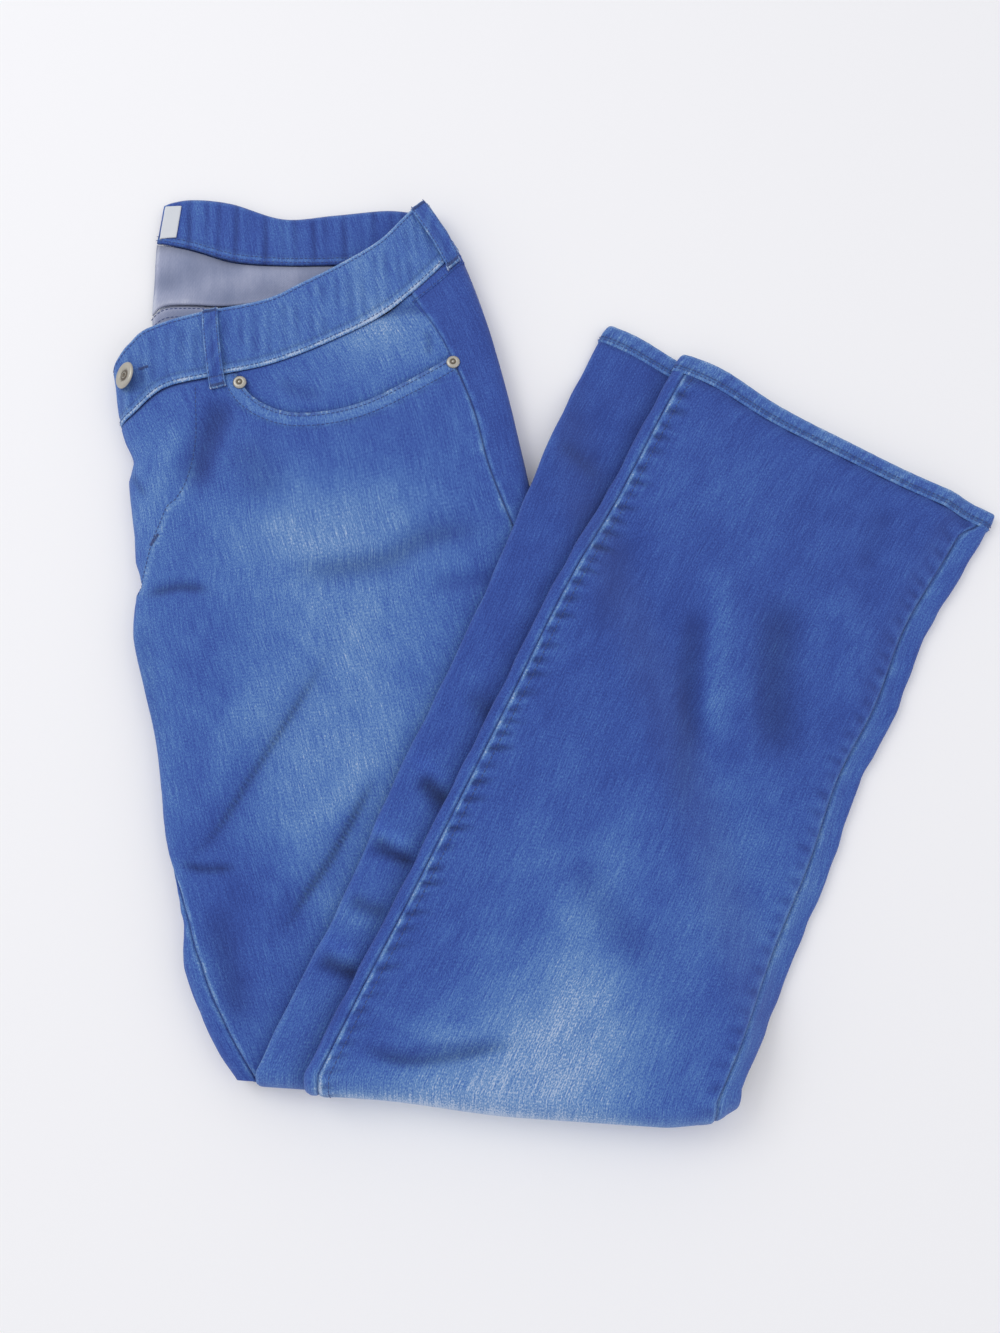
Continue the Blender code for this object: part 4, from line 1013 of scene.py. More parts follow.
thighPanels = {"fineMm": 2.4, "coarseMm": 5.0}
yokeEnd = 1.16
firstRow, lastRow = 1.006, lastThighRow - 0.02
thighPanel("backSideLeft", ["left_back_side"], yokeEnd + 0.004, lastRow, sideSeamReach, upperLength,
           thighPanels["fineMm"], 2.8, True, ("start",), 0.14)
yokeGrid = thighPanel("yokeSideLeft", ["yoke_left_side"], 1.004, yokeEnd, sideSeamReach, upperLength,
                      thighPanels["fineMm"], 1.2, True, ("start",), 0.2, lift=0.35)
thighPanel("backInseamLeft", ["left_back_inseam"], inseamStart + 0.03, lastRow, lambda s: 0.0, inseamAt,
           1.6, 2.6, True, ("end",), 0.2)
thighPanel("frontThighRight", ["right_front_thigh"], firstRow, lastRow,
           lambda s: inseamAt(s) + (0.5 if s >= inseamStart else 0.0), lambda s: sideSeamReach(s) - 0.3,
           thighPanels["coarseMm"], 5.0, False, ("end",), 0.24)
thighPanel("backSideRight", ["right_back_side"], firstRow, lastRow, sideSeamReach, upperLength,
           2.6, 4.0, False, ("start",), 0.16)
thighPanel("backInseamRight", ["right_back_inseam"], inseamStart + 0.03, lastRow, lambda s: 0.0, inseamAt,
           2.2, 4.0, False, ("end",), 0.2)
print("thigh panels built")


waistband = {"baseFade": 0.40, "stepMm": 2.2, "rowMm": 1.5, "wrinkle": 0.85}


def buildWaistband(name, node, upper, thickness):
    rows = rowRun(0.0, 0.94, waistband["rowMm"], thighStep)
    rows = np.concatenate([[0.0, 0.012, 0.03, 0.055], rows[rows > 0.075][:-1], [0.955, 0.972, 0.986, 0.997]])
    count = int(upperLength(0.5) / waistband["stepMm"])
    grid = np.array([thighAround(s, np.linspace(0.0, upperLength(s), count), upper) for s in rows])
    if not upper:
        grid = grid[:, ::-1]
    uv = centreUv(grid)
    fromTop, fromSeam = uv[..., 1], uv[-1:, :, 1] - uv[..., 1]
    across = uv[..., 0]
    middle = smoothStep(3, 12, fromTop) * smoothStep(3, 10, fromSeam)
    wrinkles = (wobble(across + 0.35 * fromTop, 10.0, 2.0)
                * (0.55 + 0.45 * wobble(across - 0.8 * fromTop, 37.0, 5.0)))
    height = waistband["wrinkle"] * wrinkles * (0.25 + 0.75 * middle)
    height += (0.45 * np.exp(-((fromSeam - 2.6) / 2.0) ** 2) - 0.9 * np.exp(-(fromTop / 0.9) ** 2)
               - 0.4 * np.exp(-(fromSeam / 0.5) ** 2))
    height += -0.20 * np.exp(-((fromSeam - 6.6) / 0.8) ** 2) - 0.16 * np.exp(-((fromTop - 3.4) / 0.8) ** 2)
    if upper:
        grid = raised(grid, height)
    else:
        lifted = np.clip((grid[..., 2] - 0.5) / 2.0, 0, 1)
        grid = raised(grid, height * lifted)
        grid[..., 2] = np.maximum(grid[..., 2], 0.0)
    # Wrinkle crests are painted lighter and hollows darker (painted light and shade), and the band is paler
    # towards the seam.
    fadeAndLight = waistband["baseFade"] + 0.16 * wrinkles * middle + 0.12 * np.exp(-((fromSeam - 3) / 4.0) ** 2)
    fadeAndLight = fadeAndLight + 0.10 * np.exp(-((grid[..., 0] + 92) / 30.0) ** 2) + 0.06 * wobble(across, 61.0, 1.0)
    fadeAndLight = fadeAndLight - 0.10 * smoothStep(-60, -44, grid[..., 0]) * 0.4
    wear = 0.50 * np.exp(-((fromTop - 0.8) / 0.9) ** 2) + 0.62 * np.exp(-((fromSeam - 1.6) / 1.3) ** 2)
    wear = wear * (0.7 + 0.3 * wobble(across, 19.0, 8.0))
    # Painted shade in the groove by the seam and in the wrinkles' hollows.
    shade = 0.28 * np.exp(-((fromSeam - 6.8) / 1.0) ** 2) + 0.34 * np.clip(-wrinkles, 0, 1) * middle
    clothPiece(name, grid, {"fadeAndLight": fadeAndLight, "wear": wear, "shade": shade}, uv, [node], [denim, denim],
               thickness)
    return grid


bandGrid = buildWaistband("waistbandLeft", "waistband_left", True, garment["bandCloth"])
buildWaistband("waistbandRight", "waistband_right", False, garment["cloth"])

facingLook = {"baseFade": 0.33, "sink": 0.9, "under": 2.1}


def buildFacing():  # the pocket's faded facing: it shows inside the mouth and runs on under the front
    rows = rowRun(1.004, 3.1, 2.4, thighStep)
    grid = np.array([thighAround(s, np.linspace(30, sideSeamReach(s) - 0.1, 110)) for s in rows])
    x, y = grid[..., 0], grid[..., 1]
    mouth = smoothLine(pocketMouth, 90)
    outline = np.array([*mouth, *pocketBack])
    distance, _ = alongPath(mouth, x, y)
    inside = insideOutline(outline, x, y)
    signed = np.where(inside, distance, -distance)
    drop = mix(facingLook["under"], facingLook["sink"], smoothStep(-1.0, 7.0, signed))
    drop = drop + 0.5 * np.exp(-(np.clip(signed - 1.5, 0, 99) / 3.0) ** 2) * (signed > 0)
    folds = ({"path": ((-96, 247), (-83, 243), (-66, 247), (-46, 246)), "half": 8, "depth": -1.1},
             {"path": ((-90, 256), (-66, 262), (-50, 262)), "half": 10, "depth": -0.7},
             {"path": ((-52, 232), (-50, 222), (-51, 210)), "half": 4, "depth": -0.9},
             {"path": ((-150, 196), (-140, 186), (-118, 182)), "half": 9, "depth": -0.5})
    relief = foldRelief(folds, x, y)
    uv = centreUv(grid)
    nearSide = np.where(x > -60, mix(0.4, 1.0, smoothStep(0, 5, uv[:, -1:, 0] - uv[..., 0])), 1)
    drop = drop * mix(0.15, 1.0, smoothStep(0.0, 7.0, uv[..., 1])) * nearSide
    grid[..., 2] += relief - drop
    # A worn paler patch, with fold ridges painted lighter and troughs darker: painted light and shade.
    fadeAndLight = (facingLook["baseFade"] + 0.34 * np.exp(-(((x + 84) / 44) ** 2 + ((y - 232) / 30) ** 2))
            + 0.10 * relief)
    # Painted shade in the fold at the top right, and darker towards the left.
    fadeAndLight = (fadeAndLight - 0.12 * np.exp(-(((x + 46) / 16) ** 2 + ((y - 258) / 14) ** 2))
            - 0.10 * smoothStep(-140, -172, x))
    # Painted shade in the fold troughs, and painted shadow of the front's edge just inside the mouth.
    shade = 0.30 * np.clip(-relief, 0, 1) + 0.50 * np.exp(-(np.clip(signed, 0, 99) / 1.6) ** 2)
    wear = 0.0 * x
    shown, uv, maps, _ = tucked(grid, uv, {"fadeAndLight": fadeAndLight, "wear": wear, "shade": shade})
    return clothPiece("pocketFacing", shown, maps, uv, ["pocket_facing"], [denim, wrongSide], 1.0,
                      slotName="faded_denim")


buildFacing()
print("waistband and pocket built")


# Open waist: the inside of the left back over the right back

openWaist = {"leftFace": 5.8, "rightFace": 3.4, "rightIn": 10.0, "curl": 1.0}


def betweenGrid(lineA, lineB, shareA, shareB, height, stepMm, leftIn, count):
    a, b = smoothLine(lineA, 400), smoothLine(lineB, 400)
    start = leftIn / lineLength(a)
    across = np.linspace(start, 1, count)
    index = across * 399
    pick = lambda line: np.stack([np.interp(index, np.arange(400), line[:, k]) for k in (0, 1)], axis=1)
    gap = np.linalg.norm(pick(a) - pick(b), axis=1).max() * (shareB - shareA)
    downs = np.linspace(shareA, shareB, max(6, int(gap / stepMm)))
    plan = mix(pick(a)[None], pick(b)[None], downs[:, None, None])
    return np.concatenate([plan, np.full(plan.shape[:2] + (1,), float(height))], axis=-1)


def backPiece(name, node, grid, kind, slotName):
    uv = centreUv(grid)
    x, y = grid[..., 0], grid[..., 1]
    across, fromTop = uv[..., 0], uv[..., 1]
    fromEnd = uv[-1:, :, 1] - uv[..., 1]
    fromLeft = across - across[:, :1]
    curl = -openWaist["curl"] * np.exp(-(fromLeft / 2.4) ** 2)
    if kind == "band":
        wrinkles = (wobble(across + 0.2 * fromTop, 11.0, 3.0)
                    * (0.6 + 0.4 * wobble(across + 0.5 * fromTop, 29.0, 1.0)))
        height = 0.55 * wrinkles * smoothStep(1, 8, fromTop) + curl - 0.8 * np.exp(-(fromTop / 0.9) ** 2)
        height += 0.40 * np.exp(-((fromEnd - 3.0) / 2.4) ** 2) - 0.2 * np.exp(-((fromEnd - 6.2) / 0.8) ** 2)
        # Wrinkle crests are painted lighter and hollows darker: painted light and shade.
        fadeAndLight = 0.22 + 0.14 * wrinkles + 0.08 * wobble(across, 53.0, 4.0)
        wear = 0.34 * np.exp(-((fromTop - 0.8) / 0.9) ** 2) + 0.24 * np.exp(-((fromEnd - 4.2) / 1.6) ** 2)
        # Painted shade in the wrinkles' hollows, in the groove by the seam and at the seam.
        shade = (0.42 * np.clip(-wrinkles, 0, 1) + 0.30 * np.exp(-((fromEnd - 6.4) / 0.9) ** 2)
                 + 0.4 * np.exp(-(fromEnd / 0.9) ** 2))
        look = [denim, denim]
    else:
        relief = 0.9 * wobbleField(x, y, 34, 6.0)
        height = relief + curl
        if kind == "yoke":
            height = height - 0.5 * np.exp(-(fromTop / 1.2) ** 2) + 0.4 * np.exp(-((fromEnd - 2) / 2.0) ** 2)
        else:
            height = height + 0.55 * smoothStep(0.2, 1.2, fromTop) * (1 - smoothStep(8.5, 10.5, fromTop))
            height = height - 0.5 * np.exp(-(fromTop / 0.7) ** 2)
        # Undulations are painted lighter on their rises and darker in their dips: painted light and shade.
        fadeAndLight = 0.48 + 0.34 * relief + 0.10 * np.exp(-(fromLeft / 16.0) ** 2)
        wear = (0.20 * np.exp(-((fromEnd - 1.0) / 1.2) ** 2) if kind == "yoke"
                else 0.25 * np.exp(-((fromTop - 1.2) / 1.2) ** 2))
        # Painted shade in the dips; the yoke gets painted shade under the band's seam, the back at its seams.
        shade = 0.02 + 0.18 * np.clip(-relief, 0, 1)
        if kind == "yoke":
            shade = shade + 0.42 * np.exp(-(fromTop / 2.4) ** 2)
        else:
            shade = shade + (0.5 * np.exp(-(fromTop / 0.9) ** 2) + 0.25 * np.exp(-((fromTop - 9.6) / 0.9) ** 2))
        look = [wrongSide, denim]
    wear = wear + 0.25 * np.exp(-((fromLeft - 1.5) / 1.5) ** 2)
    grid = raised(grid, -height if normalsOf(grid)[..., 2].mean() < 0 else height)
    if normalsOf(grid)[..., 2].mean() < 0:
        grid, uv = grid[:, ::-1], uv[:, ::-1]
        fadeAndLight, wear, shade = fadeAndLight[:, ::-1], wear[:, ::-1], shade[:, ::-1]
    clothPiece(name, grid, {"fadeAndLight": fadeAndLight, "wear": wear, "shade": shade}, uv, [node], look, slotName=slotName)
    return grid


backGrids = {}
for side, face, leftIn, stepMm, count in (("Left", openWaist["leftFace"], 0.0, 2.0, 110),
                                          ("Right", openWaist["rightFace"], openWaist["rightIn"], 5.0, 50)):
    low = side.lower()
    slotName = "denim_wrong_side" if side == "Left" else "denim"
    for kind, node, lines in (("band", f"waistband_{low}_back", (backTop, backBandSeam, 0.0, 0.985)),
                              ("yoke", f"yoke_{low}_back", (backBandSeam, yokeSeam, 0.012, 0.985)),
                              ("back", f"{low}_back_waist", (yokeSeam, mouthEnd, 0.006, 1.0))):
        grid = betweenGrid(*lines, face, stepMm, leftIn, count)
        backGrids[side + kind] = backPiece(f"{kind}Inside{side}", node, grid, kind, slotName)
print("open waist built")


# Lower legs

legLook = {"baseFade": 0.15, "stepMm": 2.4, "rowMm": 2.0, "puckerMm": 9.8, "puckerDepth": 0.75}
legEnd = lastLegRow + kneeFold["turns"]


def legMaps(leg, grid):
    x, y = grid[..., 0], grid[..., 1]
    folds, fades = (topLegFolds, topLegFades) if leg == "upper" else (underLegFolds, underLegFades)
    relief = foldRelief(folds, x, y)
    # Fold ridges are painted lighter and troughs darker, and painted shade lies in the troughs and along the
    # crease lines.
    fadeAndLight = legLook["baseFade"] + patches(fades, x, y) + 0.09 * np.clip(relief, -1.2, 1.2)
    lines = topLegLines if leg == "upper" else underLegLines
    return fadeAndLight, 0.20 * np.clip(-relief / 2.2, 0, 1) + lineShade(lines, x, y)


def buildFrontShin():  # the upper leg's front between its seams, and on round the knee fold
    rows = rowRun(garment["hemRows"] + 0.004, legEnd, legLook["rowMm"], legStep)
    count, lines, fromIn, fromOut = 80, [], [], []
    for s in rows:
        width = legEdges("upper", s)[1]
        start = strips["inseam"] + 0.3
        end = width - strips["outseam"] - 0.6 + 7.0 * np.exp(-(((s - garment["hemRows"]) / 0.16)) ** 2)
        p = seamColumns(start, end, np.array(fineEdge), count)
        lines.append(legSurface("upper", s, p, 1.0))
        fromIn.append(p - start)
        fromOut.append(end - p)
    grid, fromIn, fromOut = np.array(lines), np.array(fromIn), np.array(fromOut)
    uv = centreUv(grid)
    along = uv[..., 1]
    fromHem = along - along[0]
    inPucker = (puckers(along, fromIn, legLook["puckerMm"], 1.0, 9.5, 1.0)
                * (1 - 0.4 * smoothStep(330, 420, along)))
    outPucker = puckers(along, fromOut, 13.0, 1.0, 8.0, 6.0)
    height = seamRidge(fromIn, 0.5, 5.0) + seamRidge(fromOut, 0.35, 6.0)
    height += legLook["puckerDepth"] * inPucker + 0.34 * outPucker - 0.35 * np.exp(-(fromHem / 2.5) ** 2)
    hemPucker = wobble(uv[..., 0] + 0.3 * fromHem, 21.0, 3.0) * np.exp(-fromHem / 16.0)
    height += 0.5 * hemPucker
    grid = raised(grid, height)
    grid[..., 2] = np.maximum(grid[..., 2], 0.3)
    fadeAndLight, shade = legMaps("upper", grid)
    # Pucker crests are painted lighter and hollows darker: painted light and shade.
    fadeAndLight += 0.22 * np.clip(inPucker, 0, 1) + 0.10 * outPucker + 0.05 * hemPucker
    wear = 0.80 * seamWear(along, fromIn, 3.0, 1.2) + 0.34 * seamWear(along, fromOut, 6.0)
    # A paler band round the fold's outer face.
    onFold = smoothStep(legEnd - 0.9, legEnd - 0.55, rows)[:, None]
    wear += 0.30 * onFold * (1 - smoothStep(legEnd - 0.5, legEnd - 0.2, rows)[:, None])
    # Painted shade in the seams' grooves and painted shadow below the hem; painted shade in the puckers'
    # hollows.
    shade += (0.30 * np.exp(-(fromIn / 0.5) ** 2) + 0.40 * np.exp(-(fromOut / 0.55) ** 2)
              + 0.22 * np.exp(-(fromHem / 4.5) ** 2))
    shade += 0.85 * np.clip(-inPucker, 0, 1) + 0.24 * np.clip(-outPucker, 0, 1)
    shown, uv, maps, _ = tucked(grid, uv, {"fadeAndLight": fadeAndLight, "wear": wear, "shade": shade})
    clothPiece("frontShinRight", shown, maps, uv, ["right_front_shin", "right_front_knee"],
               [denim, wrongSide])
    return grid


def wrapPoints(leg, s, parts):  # across and level values for one row of a wrapped panel
    ps, levels = [], []
    for p, level in parts:
        ps.append(np.atleast_1d(p))
        levels.append(np.broadcast_to(level, np.shape(np.atleast_1d(p))))
    return legSurface(leg, s, np.concatenate(ps), np.concatenate(levels))


def buildBackShinRight():  # the upper leg's back: over its right edge, under it and over its left edge
    rows = rowRun(garment["hemRows"] + 0.004, legEnd, 3.0, legStep)
    lines = []
    for s in rows:
        width = legEdges("upper", s)[1]
        outer = strips["outseam"] - 7.0 * np.exp(-(((s - garment["hemRows"]) / 0.16)) ** 2)
        right, left = edgeRound("upper", s, "right", 11), edgeRound("upper", s, "left", 11)
        rimR, rimL = width - garment["legRoll"], garment["legRoll"]
        lines.append(wrapPoints("upper", s, [
            (width - outer - np.array([1.5, 0.7]), 1.0), (np.linspace(width - outer, rimR, 7)[:-1], 1.0),
            right, (np.linspace(rimR, rimL, 34)[1:-1], 0.0), left,
            (np.linspace(rimL, strips["inseam"], 5)[1:], 1.0), (strips["inseam"] + np.array([0.7, 1.5]), 1.0)]))
    grid = np.array(lines)
    uv = centreUv(grid)
    along = uv[..., 1]
    reach = uv[..., 0] - uv[:, :1, 0]
    fromOut, fromIn = reach - 1.5, reach[:, -1:] - reach - 1.5
    shown = (np.arange(grid.shape[1]) < 16) | (np.arange(grid.shape[1]) > grid.shape[1] - 14)
    ripple = 0.5 * wobble(along, 37.0, 3.0) * shown[None]
    height = (seamRidge(fromOut, 0.25, 5.0) + seamRidge(fromIn, 0.35, 4.0)) * shown[None] + ripple
    height += 0.25 * puckers(along, fromIn, legLook["puckerMm"], 1.0, 5.0, 1.0)
    grid = raised(grid, height * (grid[..., 2] > 1.0))
    grid[..., 2] = np.maximum(grid[..., 2], 0.0)
    fadeAndLight, shade = legMaps("upper", grid)
    fadeAndLight = fadeAndLight + 0.16 * np.exp(-(fromOut / 16.0) ** 2)
    wear = 0.42 * seamWear(along, fromIn, 4.0) + 0.25 * seamWear(along, fromOut, 2.0)
    # Painted shade in the seams' grooves.
    shade = shade + 0.5 * np.exp(-(fromIn / 0.6) ** 2) + 0.5 * np.exp(-(fromOut / 0.6) ** 2)
    shown, uv, maps, _ = tucked(grid, uv, {"fadeAndLight": fadeAndLight, "wear": wear, "shade": shade}, sink=0.0)
    clothPiece("backShinRight", shown, maps, uv, ["right_back_shin"], [denim, wrongSide])


def buildBackShinLeft():  # the left leg's back faces up and wraps under both edges
    rows = rowRun(garment["hemRows"] + 0.004, legEnd, 2.8, legStep)
    lines = []
    for s in rows:
        left, right = legEdges("under", s)
        rimL, rimR = left + garment["legRoll"], right - garment["legRoll"]
        lines.append(wrapPoints("under", s, [
            (np.linspace(left + strips["under"], rimL, 4)[:-1], 0.0), edgeRound("under", s, "left", 11),
            (np.linspace(rimL, 12.0, 26)[1:], 1.0), (np.linspace(12.0, rimR, 30)[1:-1], 1.0),
            edgeRound("under", s, "right", 9), (np.linspace(rimR, right - strips["under"], 4)[1:], 0.0)]))
    grid = np.array(lines)
    uv = centreUv(grid)
    along = uv[..., 1]
    x, y = grid[..., 0], grid[..., 1]
    ripple = 0.45 * wobble(along, 43.0, 1.0) * (np.arange(grid.shape[1]) < 30)[None]
    grid = raised(grid, ripple * (grid[..., 2] > 1.0))
    fadeAndLight, shade = legMaps("under", grid)
    fadeAndLight = fadeAndLight - 0.03
    columns = np.arange(grid.shape[1])[None]
    wear = 0.22 * np.exp(-((columns - 9.0) / 2.2) ** 2) * (0.7 + 0.3 * wobble(along, 31.0, 2.0))
    upperLeft = np.array([legFrame(min(s, lastLegRow))[0] for s in rows])
    toUpper, _ = alongPath(upperLeft, x, y)
    # Painted shadow of the upper leg's left edge, and painted shadow below the hem.
    shade = shade + 0.30 * np.exp(-(toUpper / 9.0) ** 2) * (columns > 9)
    fromHem = along - along[:1]
    shade = shade + 0.3 * np.exp(-(fromHem / 2.0) ** 2)
    shown, uv, maps, _ = tucked(grid, uv, {"fadeAndLight": fadeAndLight, "wear": wear, "shade": shade}, sink=0.0)
    clothPiece("backShinLeft", shown, maps, uv, ["left_back_shin", "left_back_knee"], [denim, wrongSide])


def buildFrontShinLeft():
    rows = rowRun(garment["hemRows"] + 0.004, lastLegRow - 0.06, 6.0, legStep)
    lines = []
    for s in rows:
        left, right = legEdges("under", s)
        inset = strips["under"] + strips["underGap"]
        lines.append(legSurface("under", s, np.linspace(left + inset, right - inset, 44), 0.0))
    grid = np.array(lines)[:, ::-1]
    uv = centreUv(grid)
    fadeAndLight = legLook["baseFade"] + 0.05 * wobbleField(grid[..., 0], grid[..., 1], 60, 1.0)
    clothPiece("frontShinLeft", grid, {"fadeAndLight": fadeAndLight, "wear": 0 * fadeAndLight, "shade": 0 * fadeAndLight}, uv,
               ["left_front_shin"], [denim, wrongSide])


frontShinGrid = buildFrontShin()
buildBackShinRight()
buildBackShinLeft()
buildFrontShinLeft()
print("lower legs built")

hemLook = {"lift": 0.75, "ropeMm": 9.0, "rope": 0.35, "baseFade": 0.38}


def buildHem(name, node, leg, seed):  # the turned hem all round the leg
    rows = np.concatenate([[0.0, 0.008, 0.02, 0.04], np.arange(0.065, garment["hemRows"] - 0.05, 0.034),
                           garment["hemRows"] + np.array([-0.04, -0.025, -0.012, 0.0, 0.008])])
    lines = []
    for s in rows:
        left, right = legEdges(leg, s)
        rimL, rimR = left + garment["legRoll"], right - garment["legRoll"]
        lines.append(wrapPoints(leg, s, [
            edgeRound(leg, s, "left", 9), (np.linspace(rimL, rimR, 110)[1:-1], 1.0),
            edgeRound(leg, s, "right", 9), (np.linspace(rimR, rimL, 60)[1:-1], 0.0)]))
    grid = np.array(lines)
    uv = centreUv(grid)
    across, fromEdge = uv[..., 0], uv[..., 1]
    fromTop = uv[-1:, :, 1] - uv[..., 1]
    rope = (wobble(across + 0.55 * fromEdge, hemLook["ropeMm"], seed)
            * (0.6 + 0.4 * wobble(across, 33.0, seed + 1)))
    height = hemLook["lift"] * smoothStep(0, 6, fromEdge) + hemLook["rope"] * rope
    height += (-0.7 * np.exp(-(fromEdge / 0.9) ** 2) - 0.5 * np.exp(-(fromTop / 0.5) ** 2)
               - 0.2 * np.exp(-((fromTop - 3.6) / 1.0) ** 2))
    grid = raised(grid, height * (grid[..., 2] > 2.0))
    grid[..., 2] = np.maximum(grid[..., 2], 0.0)
    # The rope's ridges are paler and its hollows darker, partly worn roping and partly painted light and shade.
    fadeAndLight = hemLook["baseFade"] + 0.13 * rope + 0.08 * wobble(across, 47.0, seed)
    marks = (np.maximum(0, wobble(across + 0.3 * fromEdge, 5.5, seed + 3)) ** 3
             * (0.5 + 0.5 * wobble(across, 29.0, seed + 5)))
    wear = 0.24 * np.exp(-((fromTop - 0.9) / 1.0) ** 2) + 0.36 * np.exp(-((fromEdge - 0.8) / 1.0) ** 2)
    wear = (wear * (0.65 + 0.35 * wobble(across, 15.0, seed + 2))
            + 0.75 * marks * smoothStep(4.0, 6.5, fromTop))
    # Painted shade in the rope's hollows and in the groove at the stitching.
    shade = 0.34 * np.clip(-rope, 0, 1) + 0.34 * np.exp(-((fromTop - 3.6) / 1.3) ** 2)
    clothPiece(name, grid, {"fadeAndLight": fadeAndLight, "wear": wear, "shade": shade}, uv, [node], [denim, denim],
               garment["hemCloth"] * 0.8, ring=True)
    return grid


hemUpperGrid = buildHem("hemRight", "hem_right", "upper", 2.0)
hemUnderGrid = buildHem("hemLeft", "hem_left", "under", 6.0)
print("hems built")


# Hidden layers: one rounded body inside the fold, with the edges of its plies as grooves

hiddenLook = {"inset": 2.4, "topInset": 3.6, "sideInset": 10.4, "leftRound": 6, "rightRound": 8, "plies": 3}


def buildHidden():
    rings = []
    leftRound, rightRound = hiddenLook["leftRound"], hiddenLook["rightRound"]
    for s in rowRun(2.0, lastThighRow - 0.05, 9.0, thighStep):
        start, end = hiddenLook["sideInset"] + 2, thighWidth(s) - 4.0
        top = lambda q: thighHeight(s, *thighPlan(s, q)) - hiddenLook["topInset"]
        angles = np.radians(np.linspace(90, -90, 15))
        grooves = 0.9 * (0.5 + 0.5 * np.cos(angles * 2 * hiddenLook["plies"]))
        q = np.linspace(start + leftRound, end - rightRound, 40)
        z = top(q)
        ring = [np.stack([*thighPlan(s, q), z], axis=1)]
        mid = (z[-1] + hiddenLook["inset"]) / 2
        edgeQ = end - rightRound + (rightRound - grooves) * np.cos(angles)
        ring.append(np.stack([*thighPlan(s, edgeQ), mid + (z[-1] - mid) * np.sin(angles)], axis=1)[1:-1])
        ring.append(np.stack([*thighPlan(s, q[::-1]), np.full(q.shape, hiddenLook["inset"])], axis=1))
        mid = (z[0] + hiddenLook["inset"]) / 2
        edgeQ = start + leftRound - (leftRound - grooves) * np.cos(angles[::-1])
        ring.append(np.stack([*thighPlan(s, edgeQ), mid + (z[0] - mid) * np.sin(angles[::-1])],
                             axis=1)[1:-1])
        rings.append(np.concatenate(ring))
    grid = np.array(rings)
    uv = centreUv(grid)
    fadeAndLight = 0.3 + 0.1 * wobbleField(grid[..., 0], grid[..., 1], 30, 1.0)
    # The body is darkened throughout: painted shade inside the fold.
    mesh = meshFrom("hiddenLayers", grid, {"fadeAndLight": fadeAndLight, "wear": 0 * fadeAndLight, "shade": 0 * fadeAndLight + 0.3}, uv,
                    ring=True)
    work = bmesh.new()
    work.from_mesh(mesh)
    bmesh.ops.holes_fill(work, edges=[edge for edge in work.edges if edge.is_boundary])
    bmesh.ops.recalc_face_normals(work, faces=work.faces)
    work.to_mesh(mesh)
    work.free()
    settle(addPiece("hiddenLayers", mesh, [wrongSide], ["hidden_layers"], "denim_wrong_side"))


buildHidden()
print("hidden layers built")


# Trim: belt loops, button, rivets and label

loopLook = {"cloth": 1.6, "clear": 0.5, "hump": 1.6, "edgeDrop": 0.55, "baseFade": 0.32,
            "columns": (-5.5, -5.2, -4.7, -4.0, -3.2, -2.2, -1.0, 0.0, 1.0, 2.2, 3.2, 4.0, 4.7, 5.2, 5.5)}


def buildLoop(name, node, last, middle, seed):  # middle gives where the loop's middle lies on each row
    rows = np.linspace(0.03, last, 46)
    across = np.array(loopLook["columns"])
    base = np.array([thighAround(s, middle(s) + across) for s in rows])
    run = np.linspace(0, 1, len(rows))[:, None]
    rise = loopLook["hump"] * np.sin(np.pi * run) + 0.25 * wobble(run * 60, 19.0, seed)
    lift = loopLook["cloth"] + loopLook["clear"] + rise + 0.0 * across
    lift = (lift - loopLook["edgeDrop"] * (np.abs(across) / across[-1]) ** 6
            + 0.35 * np.exp(-((np.abs(across) - 4.1) / 0.8) ** 2))
    lift = lift - 0.3 * np.exp(-(np.abs(across) / 1.6) ** 2)
    grid = raised(base, lift)
    uv = centreUv(grid)
    ends = np.exp(-((run * 40) / 1.6) ** 2) + np.exp(-(((1 - run) * 40) / 2.0) ** 2)
    wear = (0.42 * np.exp(-((np.abs(across) - 4.9) / 0.7) ** 2) * (0.7 + 0.3 * wobble(run * 46, 11.0, seed))
            + 0.5 * ends)
    # The loop's middle groove is darkened: painted shade.
    fadeAndLight = (loopLook["baseFade"] + 0.12 * wobble(run * 46 + across, 13.0, seed + 2)
            - 0.08 * np.exp(-(across / 2.0) ** 2))
    shade = 0.16 * np.exp(-(across / 2.0) ** 2) + 0.0 * run
    clothPiece(name, grid, {"fadeAndLight": fadeAndLight, "wear": wear, "shade": shade}, uv, [node], [denim, denim],
               loopLook["cloth"])
    return grid


def frontLoopMiddle(s):
    depth = leftRoll(s)[1]
    return mix(80.0, 73.5, s) - depth + rollLength(depth)


def sideLoopMiddle(s):
    return upperLength(s) - rollLength(garment["roll"]) - 2.0


frontLoopGrid = buildLoop("beltLoopFront", "belt_loop_front", 1.25, frontLoopMiddle, 1.0)
sideLoopGrid = buildLoop("beltLoopSide", "belt_loop_side", 1.12, sideLoopMiddle, 4.0)

# A profile's points are its radius, height and a darkening that is partly stain in hollows and partly painted
# shade on the undersides.
buttonLook = {"place": (-250.5, 193.0), "rise": 3.2, "tilt": -40.0, "turns": 96, "profile": (
    (0.0, 0.7, 0.9), (0.9, 0.75, 0.95), (1.3, 1.25, 0.8), (1.9, 1.45, 0.35), (2.5, 1.3, 0.7),
    (2.9, 0.95, 0.85), (3.5, 0.95, 0.5), (4.3, 1.05, 0.2), (5.4, 1.4, 0.08), (6.6, 1.75, 0.0),
    (7.7, 1.85, 0.0), (8.6, 1.5, 0.05), (9.1, 0.9, 0.15), (9.2, 0.4, 0.3), (8.8, 0.0, 0.5),
    (7.8, -0.3, 0.6), (4.2, -0.6, 0.7), (3.2, -0.8, 0.8), (3.0, -1.6, 0.8), (0.0, -1.6, 0.8))}
